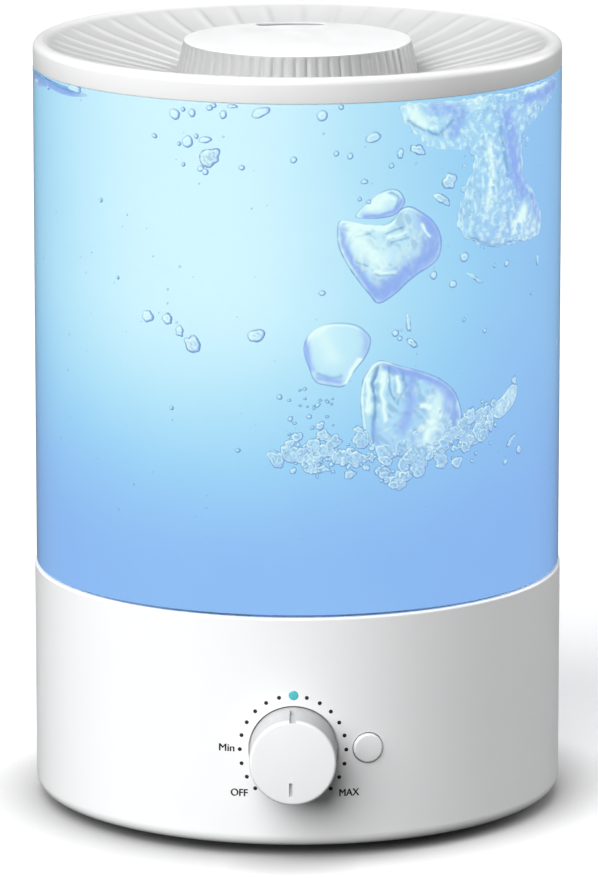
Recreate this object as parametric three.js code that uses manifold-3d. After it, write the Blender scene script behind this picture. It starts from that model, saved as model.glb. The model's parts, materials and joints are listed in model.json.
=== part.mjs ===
// Ultrasonic cool mist humidifier: a round base with a dial, a clear lift-off
// water tank, a dished lid and a turning mist cap. Millimetres, +Z up.
// The body is drawn about its own vertical axis, front towards -Y, floor at Z = 0.
import * as THREE from 'three';
import { mergeVertices } from 'three/addons/utils/BufferGeometryUtils.js';
import Module from 'manifold-3d';

const wasm = await Module();
wasm.setup();

// ---- Driving dimensions -------------------------------------------------

const GAP = 0.3; // clearance between touching pieces
const WALL = 2.5; // moulded wall
const ROUND = 32; // sides of the large shells
const MEDIUM_ROUND = 20; // sides of fist-sized round pieces
const SMALL_ROUND = 12; // sides of small round pieces

// Radii and heights of the outer body.
const BASE_R = 93.6;
const BASE_EDGE_R = 90.6; // where the base's rounded bottom edge ends
const BASE_EDGE_H = 4;
const TANK_R = 93;
const FOOT_H = 4;
const BASE_TOP = 85.2;
const TANK_BOTTOM = BASE_TOP + 0.5;
const TANK_TOP = 263.4;
const LID_BOTTOM = TANK_TOP + GAP;
const RIM_TOP = 272.5;
const RIM_R = 90; // radius of the lid rim's highest line
const DISH_LOW = 259.6; // where the dish meets the cap
const DISH_HIGH = 270.8;
const CAP_TOP = 272.2;
const CAP_TOP_R = 39.9;
const CAP_SKIRT_R = 42.6;

// Base interior.
const BASE_INNER_R = BASE_R - WALL;
const COVER_R = 85;
const COVER_TOP = 7;
const LEDGE_TOP = 77.2;
const DECK_TOP = 80;
const BASIN_R = 80;
const BASIN_FLOOR = 48.5;
const BASIN_UNDER = BASIN_FLOOR - WALL;

// Water tank.
const TANK_INNER_R = TANK_R - WALL;
const TANK_FLOOR_LOW = 86;
const TANK_FLOOR_TOP = TANK_FLOOR_LOW + WALL;
const CHIMNEY_R = 20.5;
const CHIMNEY_BORE = 18;
const CHIMNEY_LOW = 78;
const CHIMNEY_TOP = 251.5;

// Stations on the trough floor.
const VALVE_X = 45;
const FLOAT_X = -45;
const AIR_Y = 50;
const AIR_BORE = 8.5;
const AIR_R = 10.5;
const AIR_TOP = 76;

// Front panel. "Out" distances run from the body's axis towards the front.
const KNOB_Z = 38.6;
const KNOB_R = 15.15;
const KNOB_FACE_R = 15;
const KNOB_FACE = BASE_R + 18;
const POCKET_R = KNOB_R + 0.4;
const POCKET_FLOOR = 91;
const POT_BUSH_R = 4.2;
const SHAFT_R = 2.7;
const BUTTON_TURN = THREE.MathUtils.degToRad(15.9);
const BUTTON_R = 5.1;
const BUTTON_BORE = 5.45;
const BUTTON_FACE = BASE_R + 1;
const LAMP_Z = KNOB_Z + 19.4;
const LAMP_R = 1.75;
const INLET_Z = 24;
const INLET_BOSS = 84; // inner face of the power inlet's recess
const BOARD_OUT = 77; // front face of the control board

// The knob sticks out in front, so the axis stands behind the middle of the box.
const AXIS_Y = (KNOB_FACE - BASE_R) / 2;

// ---- Finishes -----------------------------------------------------------

const FINISHES = {
  white_shell: [0xf1f2f3, 0.32, 0],
  clear_tank: [0x9ccdf3, 0.12, 0],
  white_inner: [0xe4e6e8, 0.5, 0],
  grey_rubber: [0x4a4c50, 0.85, 0],
  clear_silicone: [0xd8dcdf, 0.6, 0],
  steel: [0xb9bcc0, 0.35, 1],
  brass: [0xc9a455, 0.35, 1],
  aluminium: [0xc4c7ca, 0.45, 1],
  ceramic: [0xe9dfc8, 0.4, 0],
  board: [0x1f6b43, 0.6, 0],
  black_plastic: [0x1c1d20, 0.55, 0],
  lamp: [0x6fd5da, 0.2, 0],
  foam: [0xf3efe4, 0.8, 0],
  lead: [0x262626, 0.7, 0],
};

// ---- Geometry helpers ---------------------------------------------------

function signedVolume(points, triangles) {
  const a = new THREE.Vector3();
  const b = new THREE.Vector3();
  const c = new THREE.Vector3();
  let total = 0;
  for (let i = 0; i < triangles.length; i += 3) {
    a.fromArray(points, 3 * triangles[i]);
    b.fromArray(points, 3 * triangles[i + 1]);
    c.fromArray(points, 3 * triangles[i + 2]);
    total += a.dot(b.cross(c)) / 6;
  }
  return total;
}

// Makes a solid with outward faces from a closed geometry.
function solid(geometry) {
  const bare = geometry.clone();
  bare.deleteAttribute('normal');
  bare.deleteAttribute('uv');
  const merged = mergeVertices(bare, 1e-4);
  const points = merged.getAttribute('position').array;
  const triangles = [];
  for (let i = 0; i < merged.index.count; i += 3) {
    const [a, b, c] = merged.index.array.slice(i, i + 3);
    if (a !== b && b !== c && c !== a) triangles.push(a, b, c);
  }
  if (signedVolume(points, triangles) < 0) triangles.reverse();
  return new wasm.Manifold(new wasm.Mesh({
    numProp: 3,
    vertProperties: new Float32Array(points),
    triVerts: new Uint32Array(triangles),
  }));
}

function toGeometry(body) {
  const mesh = body.getMesh();
  const geometry = new THREE.BufferGeometry();
  geometry.setAttribute('position', new THREE.Float32BufferAttribute(mesh.vertProperties, 3));
  geometry.setIndex(Array.from(mesh.triVerts));
  geometry.computeVertexNormals();
  return geometry;
}

function union(...geometries) {
  return geometries.map(solid).reduce((sum, next) => sum.add(next));
}

function cut(body, ...geometries) {
  return geometries.map(solid).reduce((rest, next) => rest.subtract(next), body);
}

// Turned shape about Z from [radius, height] pairs; `closed` joins last to first.
function turned(profile, sides = SMALL_ROUND, closed = true) {
  const points = profile.map(([r, z]) => new THREE.Vector2(r, z));
  if (closed) points.push(points[0].clone());
  return new THREE.LatheGeometry(points, sides).rotateX(Math.PI / 2);
}

function ring(inner, outer, low, high, sides = SMALL_ROUND) {
  return turned([[inner, low], [outer, low], [outer, high], [inner, high]], sides);
}

function rod(radius, low, high, sides = SMALL_ROUND) {
  return turned([[0, low], [radius, low], [radius, high], [0, high]], sides, false);
}

function block(width, depth, low, high) {
  return new THREE.BoxGeometry(width, depth, high - low).translate(0, 0, (low + high) / 2);
}

// Points of a quarter ellipse from one compass point to the next.
function quarter(centreR, centreZ, radiusR, radiusZ, from, steps) {
  const points = [];
  for (let i = 0; i <= steps; i += 1) {
    const angle = from + (i / steps) * (Math.PI / 2);
    points.push([centreR + radiusR * Math.cos(angle), centreZ + radiusZ * Math.sin(angle)]);
  }
  return points;
}

function tube(points, radius, steps, sides = 8) {
  const section = new THREE.Shape();
  section.absarc(0, 0, radius, 0, 2 * Math.PI);
  const path = points instanceof THREE.Curve
    ? points
    : new THREE.CatmullRomCurve3(points.map((p) => new THREE.Vector3(...p)));
  return new THREE.ExtrudeGeometry(section, {
    extrudePath: path,
    steps,
    curveSegments: sides / 2,
    bevelEnabled: false,
  });
}

// Moves a shape drawn about +Z, with Z as the distance from the axis, to a
// place on the side of the body: `turn` from the front towards +X, at `height`.
function onSide(geometry, turn, height) {
  return geometry.rotateX(Math.PI / 2).rotateZ(turn).translate(0, 0, height);
}

function aroundAxis(count, radius, startDegrees) {
  return Array.from({ length: count }, (_, i) => {
    const angle = THREE.MathUtils.degToRad(startDegrees + (360 * i) / count);
    return [radius * Math.cos(angle), radius * Math.sin(angle)];
  });
}

// ---- Scene groups -------------------------------------------------------

const group = new THREE.Group();
const body = new THREE.Group();
body.position.y = AXIS_Y;
group.add(body);

// Adds a named piece; `shape` is a geometry or a solid.
function piece(name, finish, shape) {
  const [color, roughness, metalness] = FINISHES[finish];
  const material = new THREE.MeshStandardMaterial({ color, roughness, metalness });
  const geometry = toGeometry(shape.isBufferGeometry ? solid(shape) : shape);
  const mesh = new THREE.Mesh(geometry, material);
  mesh.name = name;
  body.add(mesh);
}

// ---- Base ---------------------------------------------------------------

const SCREW_SPOTS = [[73, 27], [-73, 27], [-73, -27], [73, -27]];
const FOOT_SPOTS = aroundAxis(4, 68, 45);
const SCREW_R = 1.5;
const SCREW_HEAD_H = 1.5;
const PILOT_R = 1.9;
const SMALL_PILOT_R = 1.5;
const SCREW_POST_TOP = 30;

function makeHousing() {
  const lowEdge = quarter(BASE_EDGE_R, FOOT_H + BASE_EDGE_H, BASE_R - BASE_EDGE_R, BASE_EDGE_H,
    -Math.PI / 2, 4);
  const shell = turned([
    [COVER_R + GAP, FOOT_H],
    ...lowEdge,
    [BASE_R, BASE_TOP - 0.8],
    [BASE_R - 0.8, BASE_TOP],
    [BASE_INNER_R, BASE_TOP],
    [BASE_INNER_R, LEDGE_TOP],
    [BASE_INNER_R - 5, LEDGE_TOP],
    [BASE_INNER_R - 5, LEDGE_TOP - 2],
    [BASE_INNER_R, LEDGE_TOP - 5],
    [BASE_INNER_R, COVER_TOP],
    [COVER_R + GAP, COVER_TOP],
  ], ROUND);
  const posts = SCREW_SPOTS.map(([x, y]) => rod(4, COVER_TOP + GAP, SCREW_POST_TOP).translate(x, y, 0));
  const ribs = SCREW_SPOTS.map(([x, y]) => {
    const rib = block(15, 2, COVER_TOP + 2, SCREW_POST_TOP).translate(Math.hypot(x, y) + 7.2, 0, 0);
    return rib.rotateZ(Math.atan2(y, x));
  });
  const knobPad = rod(POCKET_R + 1.7, POCKET_FLOOR - 3, POCKET_FLOOR + 0.4, MEDIUM_ROUND);
  const knobBoss = onSide(knobPad, 0, KNOB_Z);
  const inletBoss = onSide(block(22, 18, INLET_BOSS, 92), Math.PI, INLET_Z);
  const pilots = SCREW_SPOTS.map(([x, y]) => rod(PILOT_R, 0, 22).translate(x, y, 0));
  return cut(
    union(shell, ...posts, ...ribs, knobBoss, inletBoss),
    ...pilots,
    onSide(rod(POCKET_R, POCKET_FLOOR, 100, MEDIUM_ROUND), 0, KNOB_Z),
    onSide(rod(POT_BUSH_R + GAP, 80, 100), 0, KNOB_Z),
    onSide(rod(BUTTON_BORE, 80, 100, MEDIUM_ROUND), BUTTON_TURN, KNOB_Z),
    onSide(rod(LAMP_R + GAP, 80, 100), 0, LAMP_Z),
    onSide(block(18, 14, INLET_BOSS + WALL, 100), Math.PI, INLET_Z),
    onSide(rod(4.3, 80, 100), Math.PI, INLET_Z),
  );
}

const CHAMBER_R = 28;
const CHAMBER_TOP = 70;
const DISC_HOLE_R = 8;
const CLAMP_SCREW_X = 16;
const CLAMP_LOW = 40;
const CLAMP_TOP = 42;
const FLOAT_POST_R = 3;
const FLOAT_POST_TOP = 70;
const VALVE_POST_TOP = 66;

function makeTrough() {
  const tray = turned([
    [DISC_HOLE_R, BASIN_UNDER],
    [BASIN_R, BASIN_UNDER],
    [BASIN_R + WALL, BASIN_FLOOR],
    [BASIN_R + WALL, DECK_TOP - WALL],
    [BASE_INNER_R - GAP, DECK_TOP - WALL],
    [BASE_INNER_R - GAP, DECK_TOP],
    [BASIN_R, DECK_TOP],
    [BASIN_R, BASIN_FLOOR + 2],
    [BASIN_R - 2, BASIN_FLOOR],
    [DISC_HOLE_R, BASIN_FLOOR],
  ], ROUND);
  const floatPost = rod(FLOAT_POST_R, BASIN_FLOOR - 1, FLOAT_POST_TOP).translate(FLOAT_X, 0, 0);
  const valvePost = rod(2.5, BASIN_FLOOR - 1, VALVE_POST_TOP).translate(VALVE_X, 0, 0);
  const bossSides = [1, -1];
  const bosses = bossSides.map((side) => (
    rod(2.4, CLAMP_TOP + GAP, BASIN_UNDER + 1).translate(side * CLAMP_SCREW_X, 0, 0)
  ));
  const pilots = bossSides.map((side) => (
    rod(SMALL_PILOT_R, CLAMP_LOW, BASIN_UNDER - 0.2).translate(side * CLAMP_SCREW_X, 0, 0)
  ));
  return cut(
    union(tray, floatPost, valvePost, ...bosses),
    ...pilots,
    rod(AIR_R, 40, 90, MEDIUM_ROUND).translate(0, AIR_Y, 0),
  );
}

// The wall round the transducer, with slots at its foot that let water in.
function makeMistChamber() {
  const low = BASIN_FLOOR + GAP;
  const waterSlots = [0, 1].map((i) => (
    block(70, 8, low - 1, low + 4.7).rotateZ(Math.PI * (0.25 + i / 2))
  ));
  return cut(solid(ring(CHAMBER_R - 2, CHAMBER_R, low, CHAMBER_TOP, MEDIUM_ROUND)), ...waterSlots);
}

function makeAirRiser() {
  const outer = AIR_R - GAP;
  const collarLow = BASIN_FLOOR + GAP;
  return turned([
    [AIR_BORE, BASIN_UNDER],
    [outer, BASIN_UNDER],
    [outer, collarLow],
    [outer + 2.8, collarLow],
    [outer + 2.8, collarLow + 1.5],
    [outer, collarLow + 1.5],
    [outer, AIR_TOP],
    [AIR_BORE, AIR_TOP],
  ], MEDIUM_ROUND).translate(0, AIR_Y, 0);
}

const DRIVER_BOARD_Z = 30;
const STANDOFFS = [[26, -20], [-26, -20], [-26, 16], [26, 16]];
const FAN_LOW = COVER_TOP + 1.3;
const FAN_HIGH = FAN_LOW + 15;
const FAN_SIZE = 50;
const FAN_BORE = 22.4;
const FAN_HOLE = 20; // from the fan's middle to its corner holes, along X and Y
const FAN_SCREWS = [[FAN_HOLE, AIR_Y - FAN_HOLE], [-FAN_HOLE, AIR_Y + FAN_HOLE]];

function makeBottomCover() {
  const plate = rod(COVER_R, FOOT_H, COVER_TOP, ROUND);
  const standoffs = STANDOFFS.map(([x, y]) => (
    rod(2.5, COVER_TOP - 1, DRIVER_BOARD_Z - GAP).translate(x, y, 0)
  ));
  const fanBosses = [-FAN_HOLE, FAN_HOLE].flatMap((x) => [-FAN_HOLE, FAN_HOLE].map((y) => (
    rod(3.5, COVER_TOP - 1, FAN_LOW - GAP).translate(x, AIR_Y + y, 0)
  )));
  const vents = [-2, -1, 0, 1, 2].map((i) => (
    block(i === 0 ? 38 : 34, 3.4, 0, 20).translate(0, AIR_Y + 6.5 * i, 0)
  ));
  const screwHoles = SCREW_SPOTS.flatMap(([x, y]) => [
    rod(PILOT_R, 0, 20).translate(x, y, 0),
    rod(3.6, 0, FOOT_H + 2).translate(x, y, 0),
  ]);
  const fanPilots = FAN_SCREWS.map(([x, y]) => rod(PILOT_R, 5, 20).translate(x, y, 0));
  return cut(union(plate, ...standoffs, ...fanBosses), ...vents, ...screwHoles, ...fanPilots);
}

// A screw along Z with its head at `headZ` pointing down (-1) or up (+1).
function screw(headZ, tipZ, shankR, headR, headH) {
  const side = Math.sign(headZ - tipZ);
  return turned([
    [0, tipZ],
    [shankR, tipZ],
    [shankR, headZ - side * headH],
    [headR, headZ - side * headH],
    [headR, headZ],
    [0, headZ],
  ], 10, false);
}

function makeBase() {
  piece('base_housing', 'white_shell', makeHousing());
  piece('water_trough', 'white_inner', makeTrough());
  piece('mist_chamber', 'white_inner', makeMistChamber());
  piece('air_riser', 'white_inner', makeAirRiser());
  piece('bottom_cover', 'white_inner', makeBottomCover());
  FOOT_SPOTS.forEach(([x, y], i) => {
    const profile = [[0, 0], [6, 0], [7, 1], [7, FOOT_H - GAP], [0, FOOT_H - GAP]];
    const pad = turned(profile, MEDIUM_ROUND, false).translate(x, y, 0);
    piece(`foot_${i + 1}`, 'grey_rubber', pad);
  });
  SCREW_SPOTS.forEach(([x, y], i) => {
    const coverScrew = screw(FOOT_H + 0.2, 20, SCREW_R, 3.2, SCREW_HEAD_H).translate(x, y, 0);
    piece(`cover_screw_${i + 1}`, 'steel', coverScrew);
  });
}

// ---- Ultrasonic transducer and its driver -------------------------------

const DISC_Z = 43.7;

function makeTransducer() {
  piece('transducer_disc', 'ceramic', rod(10.7, DISC_Z, DISC_Z + 0.9, MEDIUM_ROUND));
  piece('transducer_seal', 'grey_rubber', turned([
    [8.5, CLAMP_TOP + GAP],
    [12.5, CLAMP_TOP + GAP],
    [12.5, BASIN_UNDER - GAP],
    [8.5, BASIN_UNDER - GAP],
    [8.5, DISC_Z + 1.2],
    [11, DISC_Z + 1.2],
    [11, DISC_Z - GAP],
    [8.5, DISC_Z - GAP],
  ], MEDIUM_ROUND));
  const clampHoles = [1, -1].map((side) => (
    rod(SMALL_PILOT_R, 30, 50).translate(side * CLAMP_SCREW_X, 0, 0)
  ));
  const clamp = solid(ring(6, 20, CLAMP_LOW, CLAMP_TOP, MEDIUM_ROUND));
  piece('transducer_clamp', 'aluminium', cut(clamp, ...clampHoles));
  [1, -1].forEach((side, i) => {
    const headZ = CLAMP_LOW - GAP - SCREW_HEAD_H;
    const clampScrew = screw(headZ, 45.4, 1.2, 2.3, SCREW_HEAD_H);
    piece(`clamp_screw_${i + 1}`, 'steel', clampScrew.translate(side * CLAMP_SCREW_X, 0, 0));
  });

  const chips = [[-16, -12, 8], [18, -10, 6], [-20, 8, 5]].map(([x, y, height]) => (
    block(9, 7, DRIVER_BOARD_Z + 1, DRIVER_BOARD_Z + height - 2).translate(x, y, 0)
  ));
  const plate = block(60, 44, DRIVER_BOARD_Z, DRIVER_BOARD_Z + 1.6).translate(0, -2, 0);
  piece('driver_board', 'board', union(plate, ...chips));

  const sinkBase = block(30, 24, 25.5, DRIVER_BOARD_Z - GAP);
  const fins = Array.from({ length: 6 }, (_, i) => (
    block(1.6, 24, 13, 26).translate(-14.2 + 5.68 * i, 0, 0)
  ));
  piece('heat_sink', 'aluminium', union(sinkBase, ...fins));
}

// ---- Fan and air duct ---------------------------------------------------

const ROTOR_HUB_R = 10;
const ROTOR_R = 21.6;
const BLADE_COUNT = 7;
const BEARING_R = 3;

function makeFan() {
  const armLength = 2 * FAN_BORE + 2;
  const arms = [0, 1].map((i) => (
    block(armLength, 2.4, FAN_LOW, FAN_LOW + 1.6).rotateZ(Math.PI * (0.25 + i / 2))
  ));
  const bored = cut(
    solid(block(FAN_SIZE, FAN_SIZE, FAN_LOW, FAN_HIGH)),
    rod(FAN_BORE, 0, 40, MEDIUM_ROUND),
  );
  const frame = bored
    .add(union(...arms, rod(9, FAN_LOW, FAN_LOW + 1.6), rod(BEARING_R, FAN_LOW, FAN_LOW + 10)));
  const corners = [-FAN_HOLE, FAN_HOLE].flatMap((x) => [-FAN_HOLE, FAN_HOLE].map((y) => (
    rod(PILOT_R, 0, 40).translate(x, y, 0)
  )));
  const finished = cut(frame, ...corners, rod(1.3, 0, 40, 8));
  piece('fan_frame', 'black_plastic', finished.translate([0, AIR_Y, 0]));

  const hub = turned([
    [ROTOR_HUB_R - 1.5, FAN_LOW + 2.2],
    [ROTOR_HUB_R, FAN_LOW + 2.2],
    [ROTOR_HUB_R, FAN_HIGH - 1.3],
    [0, FAN_HIGH - 1.3],
    [0, FAN_HIGH - 3],
    [ROTOR_HUB_R - 1.5, FAN_HIGH - 3],
    [ROTOR_HUB_R - 1.5, FAN_LOW + 2.2],
  ], MEDIUM_ROUND, false);
  const reach = ROTOR_R - ROTOR_HUB_R;
  const blades = Array.from({ length: BLADE_COUNT }, (_, i) => (
    new THREE.BoxGeometry(reach, 12, 1.2)
      .rotateX(Math.PI / 4.5)
      .translate(ROTOR_HUB_R + reach / 2 - 0.6, 0, (FAN_LOW + FAN_HIGH) / 2 + 0.4)
      .rotateZ((2 * Math.PI * i) / BLADE_COUNT)
  ));
  const swept = union(hub, ...blades).intersect(solid(rod(ROTOR_R, 0, 40, MEDIUM_ROUND)));
  piece('fan_rotor', 'black_plastic', swept.translate([0, AIR_Y, 0]));
  piece('fan_shaft', 'steel', rod(1, FAN_LOW + 0.4, FAN_HIGH - 3 - GAP).translate(0, AIR_Y, 0));
  FAN_SCREWS.forEach(([x, y], i) => {
    const headZ = FAN_HIGH + GAP + SCREW_HEAD_H;
    const fanScrew = screw(headZ, COVER_TOP - 1.4, SCREW_R, 2.6, SCREW_HEAD_H);
    piece(`fan_screw_${i + 1}`, 'steel', fanScrew.translate(x, y, 0));
  });

  const mouth = FAN_HIGH + GAP;
  piece('air_duct', 'white_inner', turned([
    [22.2, mouth],
    [24.4, mouth],
    [24.4, mouth + 4],
    [AIR_R, 41],
    [AIR_R, BASIN_UNDER - GAP],
    [AIR_BORE, BASIN_UNDER - GAP],
    [AIR_BORE, 41],
    [22.2, mouth + 4],
  ], MEDIUM_ROUND).translate(0, AIR_Y, 0));
}

// ---- Controls, lamp and power inlet -------------------------------------

function makeKnob() {
  const shell = turned([
    [0, KNOB_FACE],
    [KNOB_FACE_R - 1, KNOB_FACE],
    [KNOB_FACE_R, KNOB_FACE - 1],
    [KNOB_R, POCKET_FLOOR + GAP],
    [KNOB_R - 2, POCKET_FLOOR + GAP],
    [KNOB_FACE_R - 2, KNOB_FACE - WALL],
    [0, KNOB_FACE - WALL],
  ], MEDIUM_ROUND, false);
  const hub = rod(5.8, 96, KNOB_FACE - 2);
  const pointer = new THREE.BoxGeometry(2.4, 2, 14).translate(0, KNOB_R - 0.2, KNOB_FACE - 7);
  const faceMark = new THREE.BoxGeometry(1.2, 4.8, 1.2).translate(-0.7, -9.5, KNOB_FACE);
  const knob = cut(union(shell, hub), rod(SHAFT_R + GAP, 90, KNOB_FACE - 4), pointer, faceMark);
  piece('mist_knob', 'white_shell', onSide(toGeometry(knob), 0, KNOB_Z));
  piece('pot_shaft', 'aluminium', onSide(rod(SHAFT_R, 82.3, KNOB_FACE - 4 - GAP), 0, KNOB_Z));
}

function makePotentiometer() {
  const can = block(16.5, 13, BOARD_OUT + GAP, 87.7);
  const pot = cut(
    union(can, rod(POT_BUSH_R, 87, POCKET_FLOOR + 3.2)),
    rod(SHAFT_R + GAP, 82, 100),
  );
  piece('pot_body', 'black_plastic', onSide(toGeometry(pot), 0, KNOB_Z));
  const hexagon = solid(rod(7, POCKET_FLOOR + GAP, POCKET_FLOOR + 2.3, 6));
  const nut = cut(hexagon, rod(POT_BUSH_R + GAP, 80, 100));
  piece('pot_nut', 'brass', onSide(toGeometry(nut), 0, KNOB_Z));
}

function makeButton() {
  const button = turned([
    [0, 87.5],
    [1.6, 87.5],
    [1.6, 88],
    [6.8, 88],
    [6.8, 90.2],
    [BUTTON_R, 90.2],
    [BUTTON_R, BUTTON_FACE - 0.7],
    [BUTTON_R - 0.6, BUTTON_FACE - 0.1],
    [BUTTON_R - 1.6, BUTTON_FACE],
    [0, BUTTON_FACE],
  ], MEDIUM_ROUND, false);
  piece('lamp_button', 'white_shell', onSide(button, BUTTON_TURN, KNOB_Z));
  const tactSwitch = union(block(6.2, 6.2, 81.5, 85.2), rod(1.5, 85, 86));
  piece('switch_body', 'black_plastic', onSide(toGeometry(tactSwitch), BUTTON_TURN, KNOB_Z));
}

function makeLamp() {
  const lens = turned([
    [0, 85.5],
    [3, 85.5],
    [3, 87.5],
    [LAMP_R, 87.5],
    [LAMP_R, BASE_R - 0.2],
    [LAMP_R * 0.7, BASE_R + 0.2],
    [0, BASE_R + 0.3],
  ], SMALL_ROUND, false);
  piece('lamp_lens', 'lamp', onSide(lens, 0, LAMP_Z));
  piece('lamp_led', 'ceramic', onSide(block(3, 3, 82.9, 85.2), 0, LAMP_Z));
  const board = new THREE.BoxGeometry(72, 1.4, 24)
    .translate(8, -BOARD_OUT + 0.7, KNOB_Z - 5.5);
  piece('control_board', 'board', board);
}

function makeInlet() {
  const jack = cut(
    union(block(10, 11, 76, INLET_BOSS - GAP), rod(4, INLET_BOSS - 1, INLET_BOSS + WALL - GAP)),
    rod(3.1, 79.5, 95),
  ).add(solid(rod(0.9, 79, INLET_BOSS + 2, 8)));
  piece('dc_inlet', 'black_plastic', onSide(toGeometry(jack), Math.PI, INLET_Z));
}

function makeLeads() {
  piece('transducer_lead', 'lead', tube([
    [10, -8, DRIVER_BOARD_Z + 2.4],
    [8, -6, 36],
    [3, -2, 39.5],
    [1, 0, DISC_Z - 0.5],
  ], 0.7, 8));
  piece('fan_lead', 'lead', tube([
    [-26.2, 34, 14],
    [-31, 32, 18],
    [-33, 24, 29],
    [-28, 16, 34.5],
    [-24, 14, DRIVER_BOARD_Z + 2.7],
  ], 0.9, 12));
  piece('inlet_lead', 'lead', tube([
    [6.2, 82, 24],
    [18, 81, 26],
    [34, 70, 28],
    [38, 44, 31],
    [34, 24, 34],
    [25, 12, DRIVER_BOARD_Z + 2.9],
  ], 1.1, 18));
}

// ---- Float --------------------------------------------------------------

const FLOAT_R = 9;
const FLOAT_LOW = BASIN_FLOOR + 0.5;

function makeFloat() {
  const bore = FLOAT_POST_R + 0.4;
  piece('float_ring', 'foam', turned([
    [bore, FLOAT_LOW],
    [4.6, FLOAT_LOW],
    [4.6, FLOAT_LOW + 4],
    [7.4, FLOAT_LOW + 4],
    [7.4, FLOAT_LOW],
    [FLOAT_R, FLOAT_LOW],
    [FLOAT_R, FLOAT_LOW + 7.5],
    [FLOAT_R - 1, FLOAT_LOW + 8.5],
    [bore, FLOAT_LOW + 8.5],
  ]).translate(FLOAT_X, 0, 0));
  piece('float_magnet', 'steel',
    ring(4.9, 7.1, FLOAT_LOW + 0.4, FLOAT_LOW + 3.7).translate(FLOAT_X, 0, 0));
  piece('float_retainer', 'white_inner',
    ring(FLOAT_POST_R + GAP, 6, FLOAT_POST_TOP - 1.8, FLOAT_POST_TOP - 0.4)
      .translate(FLOAT_X, 0, 0));
  piece('float_sensor', 'black_plastic',
    block(12, 6, BASIN_UNDER - 4.5, BASIN_UNDER - GAP).translate(FLOAT_X, 0, 0));
}

// ---- Tank and valve -----------------------------------------------------

const CAGE_R = 14;
const CAGE_LOW = 71;
const SEAT_Z = 90.5;
const VALVE_DROP = 3.2;
const STEM_R = 2.6;
const SPIDER_LOW = 82;
const PUSH_DISC_LOW = VALVE_POST_TOP + GAP;
const SPRING_R = 5;
const SPRING_TURNS = 5;

class Helix extends THREE.Curve {
  constructor(radius, low, high, turns) {
    super();
    Object.assign(this, { radius, low, high, turns });
  }

  getPoint(t, target = new THREE.Vector3()) {
    const angle = 2 * Math.PI * this.turns * t;
    const z = this.low + (this.high - this.low) * t;
    return target.set(this.radius * Math.cos(angle), this.radius * Math.sin(angle), z);
  }
}

function makeTank() {
  piece('tank_shell', 'clear_tank', ring(TANK_INNER_R, TANK_R, TANK_BOTTOM, TANK_TOP, ROUND));
  const skirtR = TANK_INNER_R - GAP;
  const floor = turned([
    [CHIMNEY_R + GAP, TANK_FLOOR_LOW],
    [skirtR - 2.2, TANK_FLOOR_LOW],
    [skirtR - 2.2, DECK_TOP + GAP],
    [skirtR, DECK_TOP + GAP],
    [skirtR, TANK_FLOOR_TOP],
    [CHIMNEY_R + GAP, TANK_FLOOR_TOP],
  ], ROUND);
  const valveHole = rod(CAGE_R + GAP, 60, 100, MEDIUM_ROUND).translate(VALVE_X, 0, 0);
  piece('tank_floor', 'clear_tank', cut(solid(floor), valveHole));

  const nutR = 26;
  const nutTop = TANK_FLOOR_LOW - 1.6;
  piece('mist_chimney', 'clear_tank',
    ring(CHIMNEY_BORE, CHIMNEY_R, CHIMNEY_LOW, CHIMNEY_TOP, MEDIUM_ROUND));
  const nut = solid(rod(nutR, nutTop - 3, nutTop, MEDIUM_ROUND));
  const bore = rod(CHIMNEY_R + GAP, nutTop - 5, nutTop + 5, MEDIUM_ROUND);
  const grips = aroundAxis(10, nutR + 1, 0).map(([x, y]) => (
    rod(2.2, nutTop - 5, nutTop + 5, 8).translate(x, y, 0)
  ));
  piece('chimney_nut', 'white_inner', cut(nut, bore, ...grips));
  piece('chimney_seal', 'clear_silicone',
    ring(CHIMNEY_R + GAP, nutR - 1, nutTop + GAP, TANK_FLOOR_LOW - GAP, MEDIUM_ROUND));
}

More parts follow.
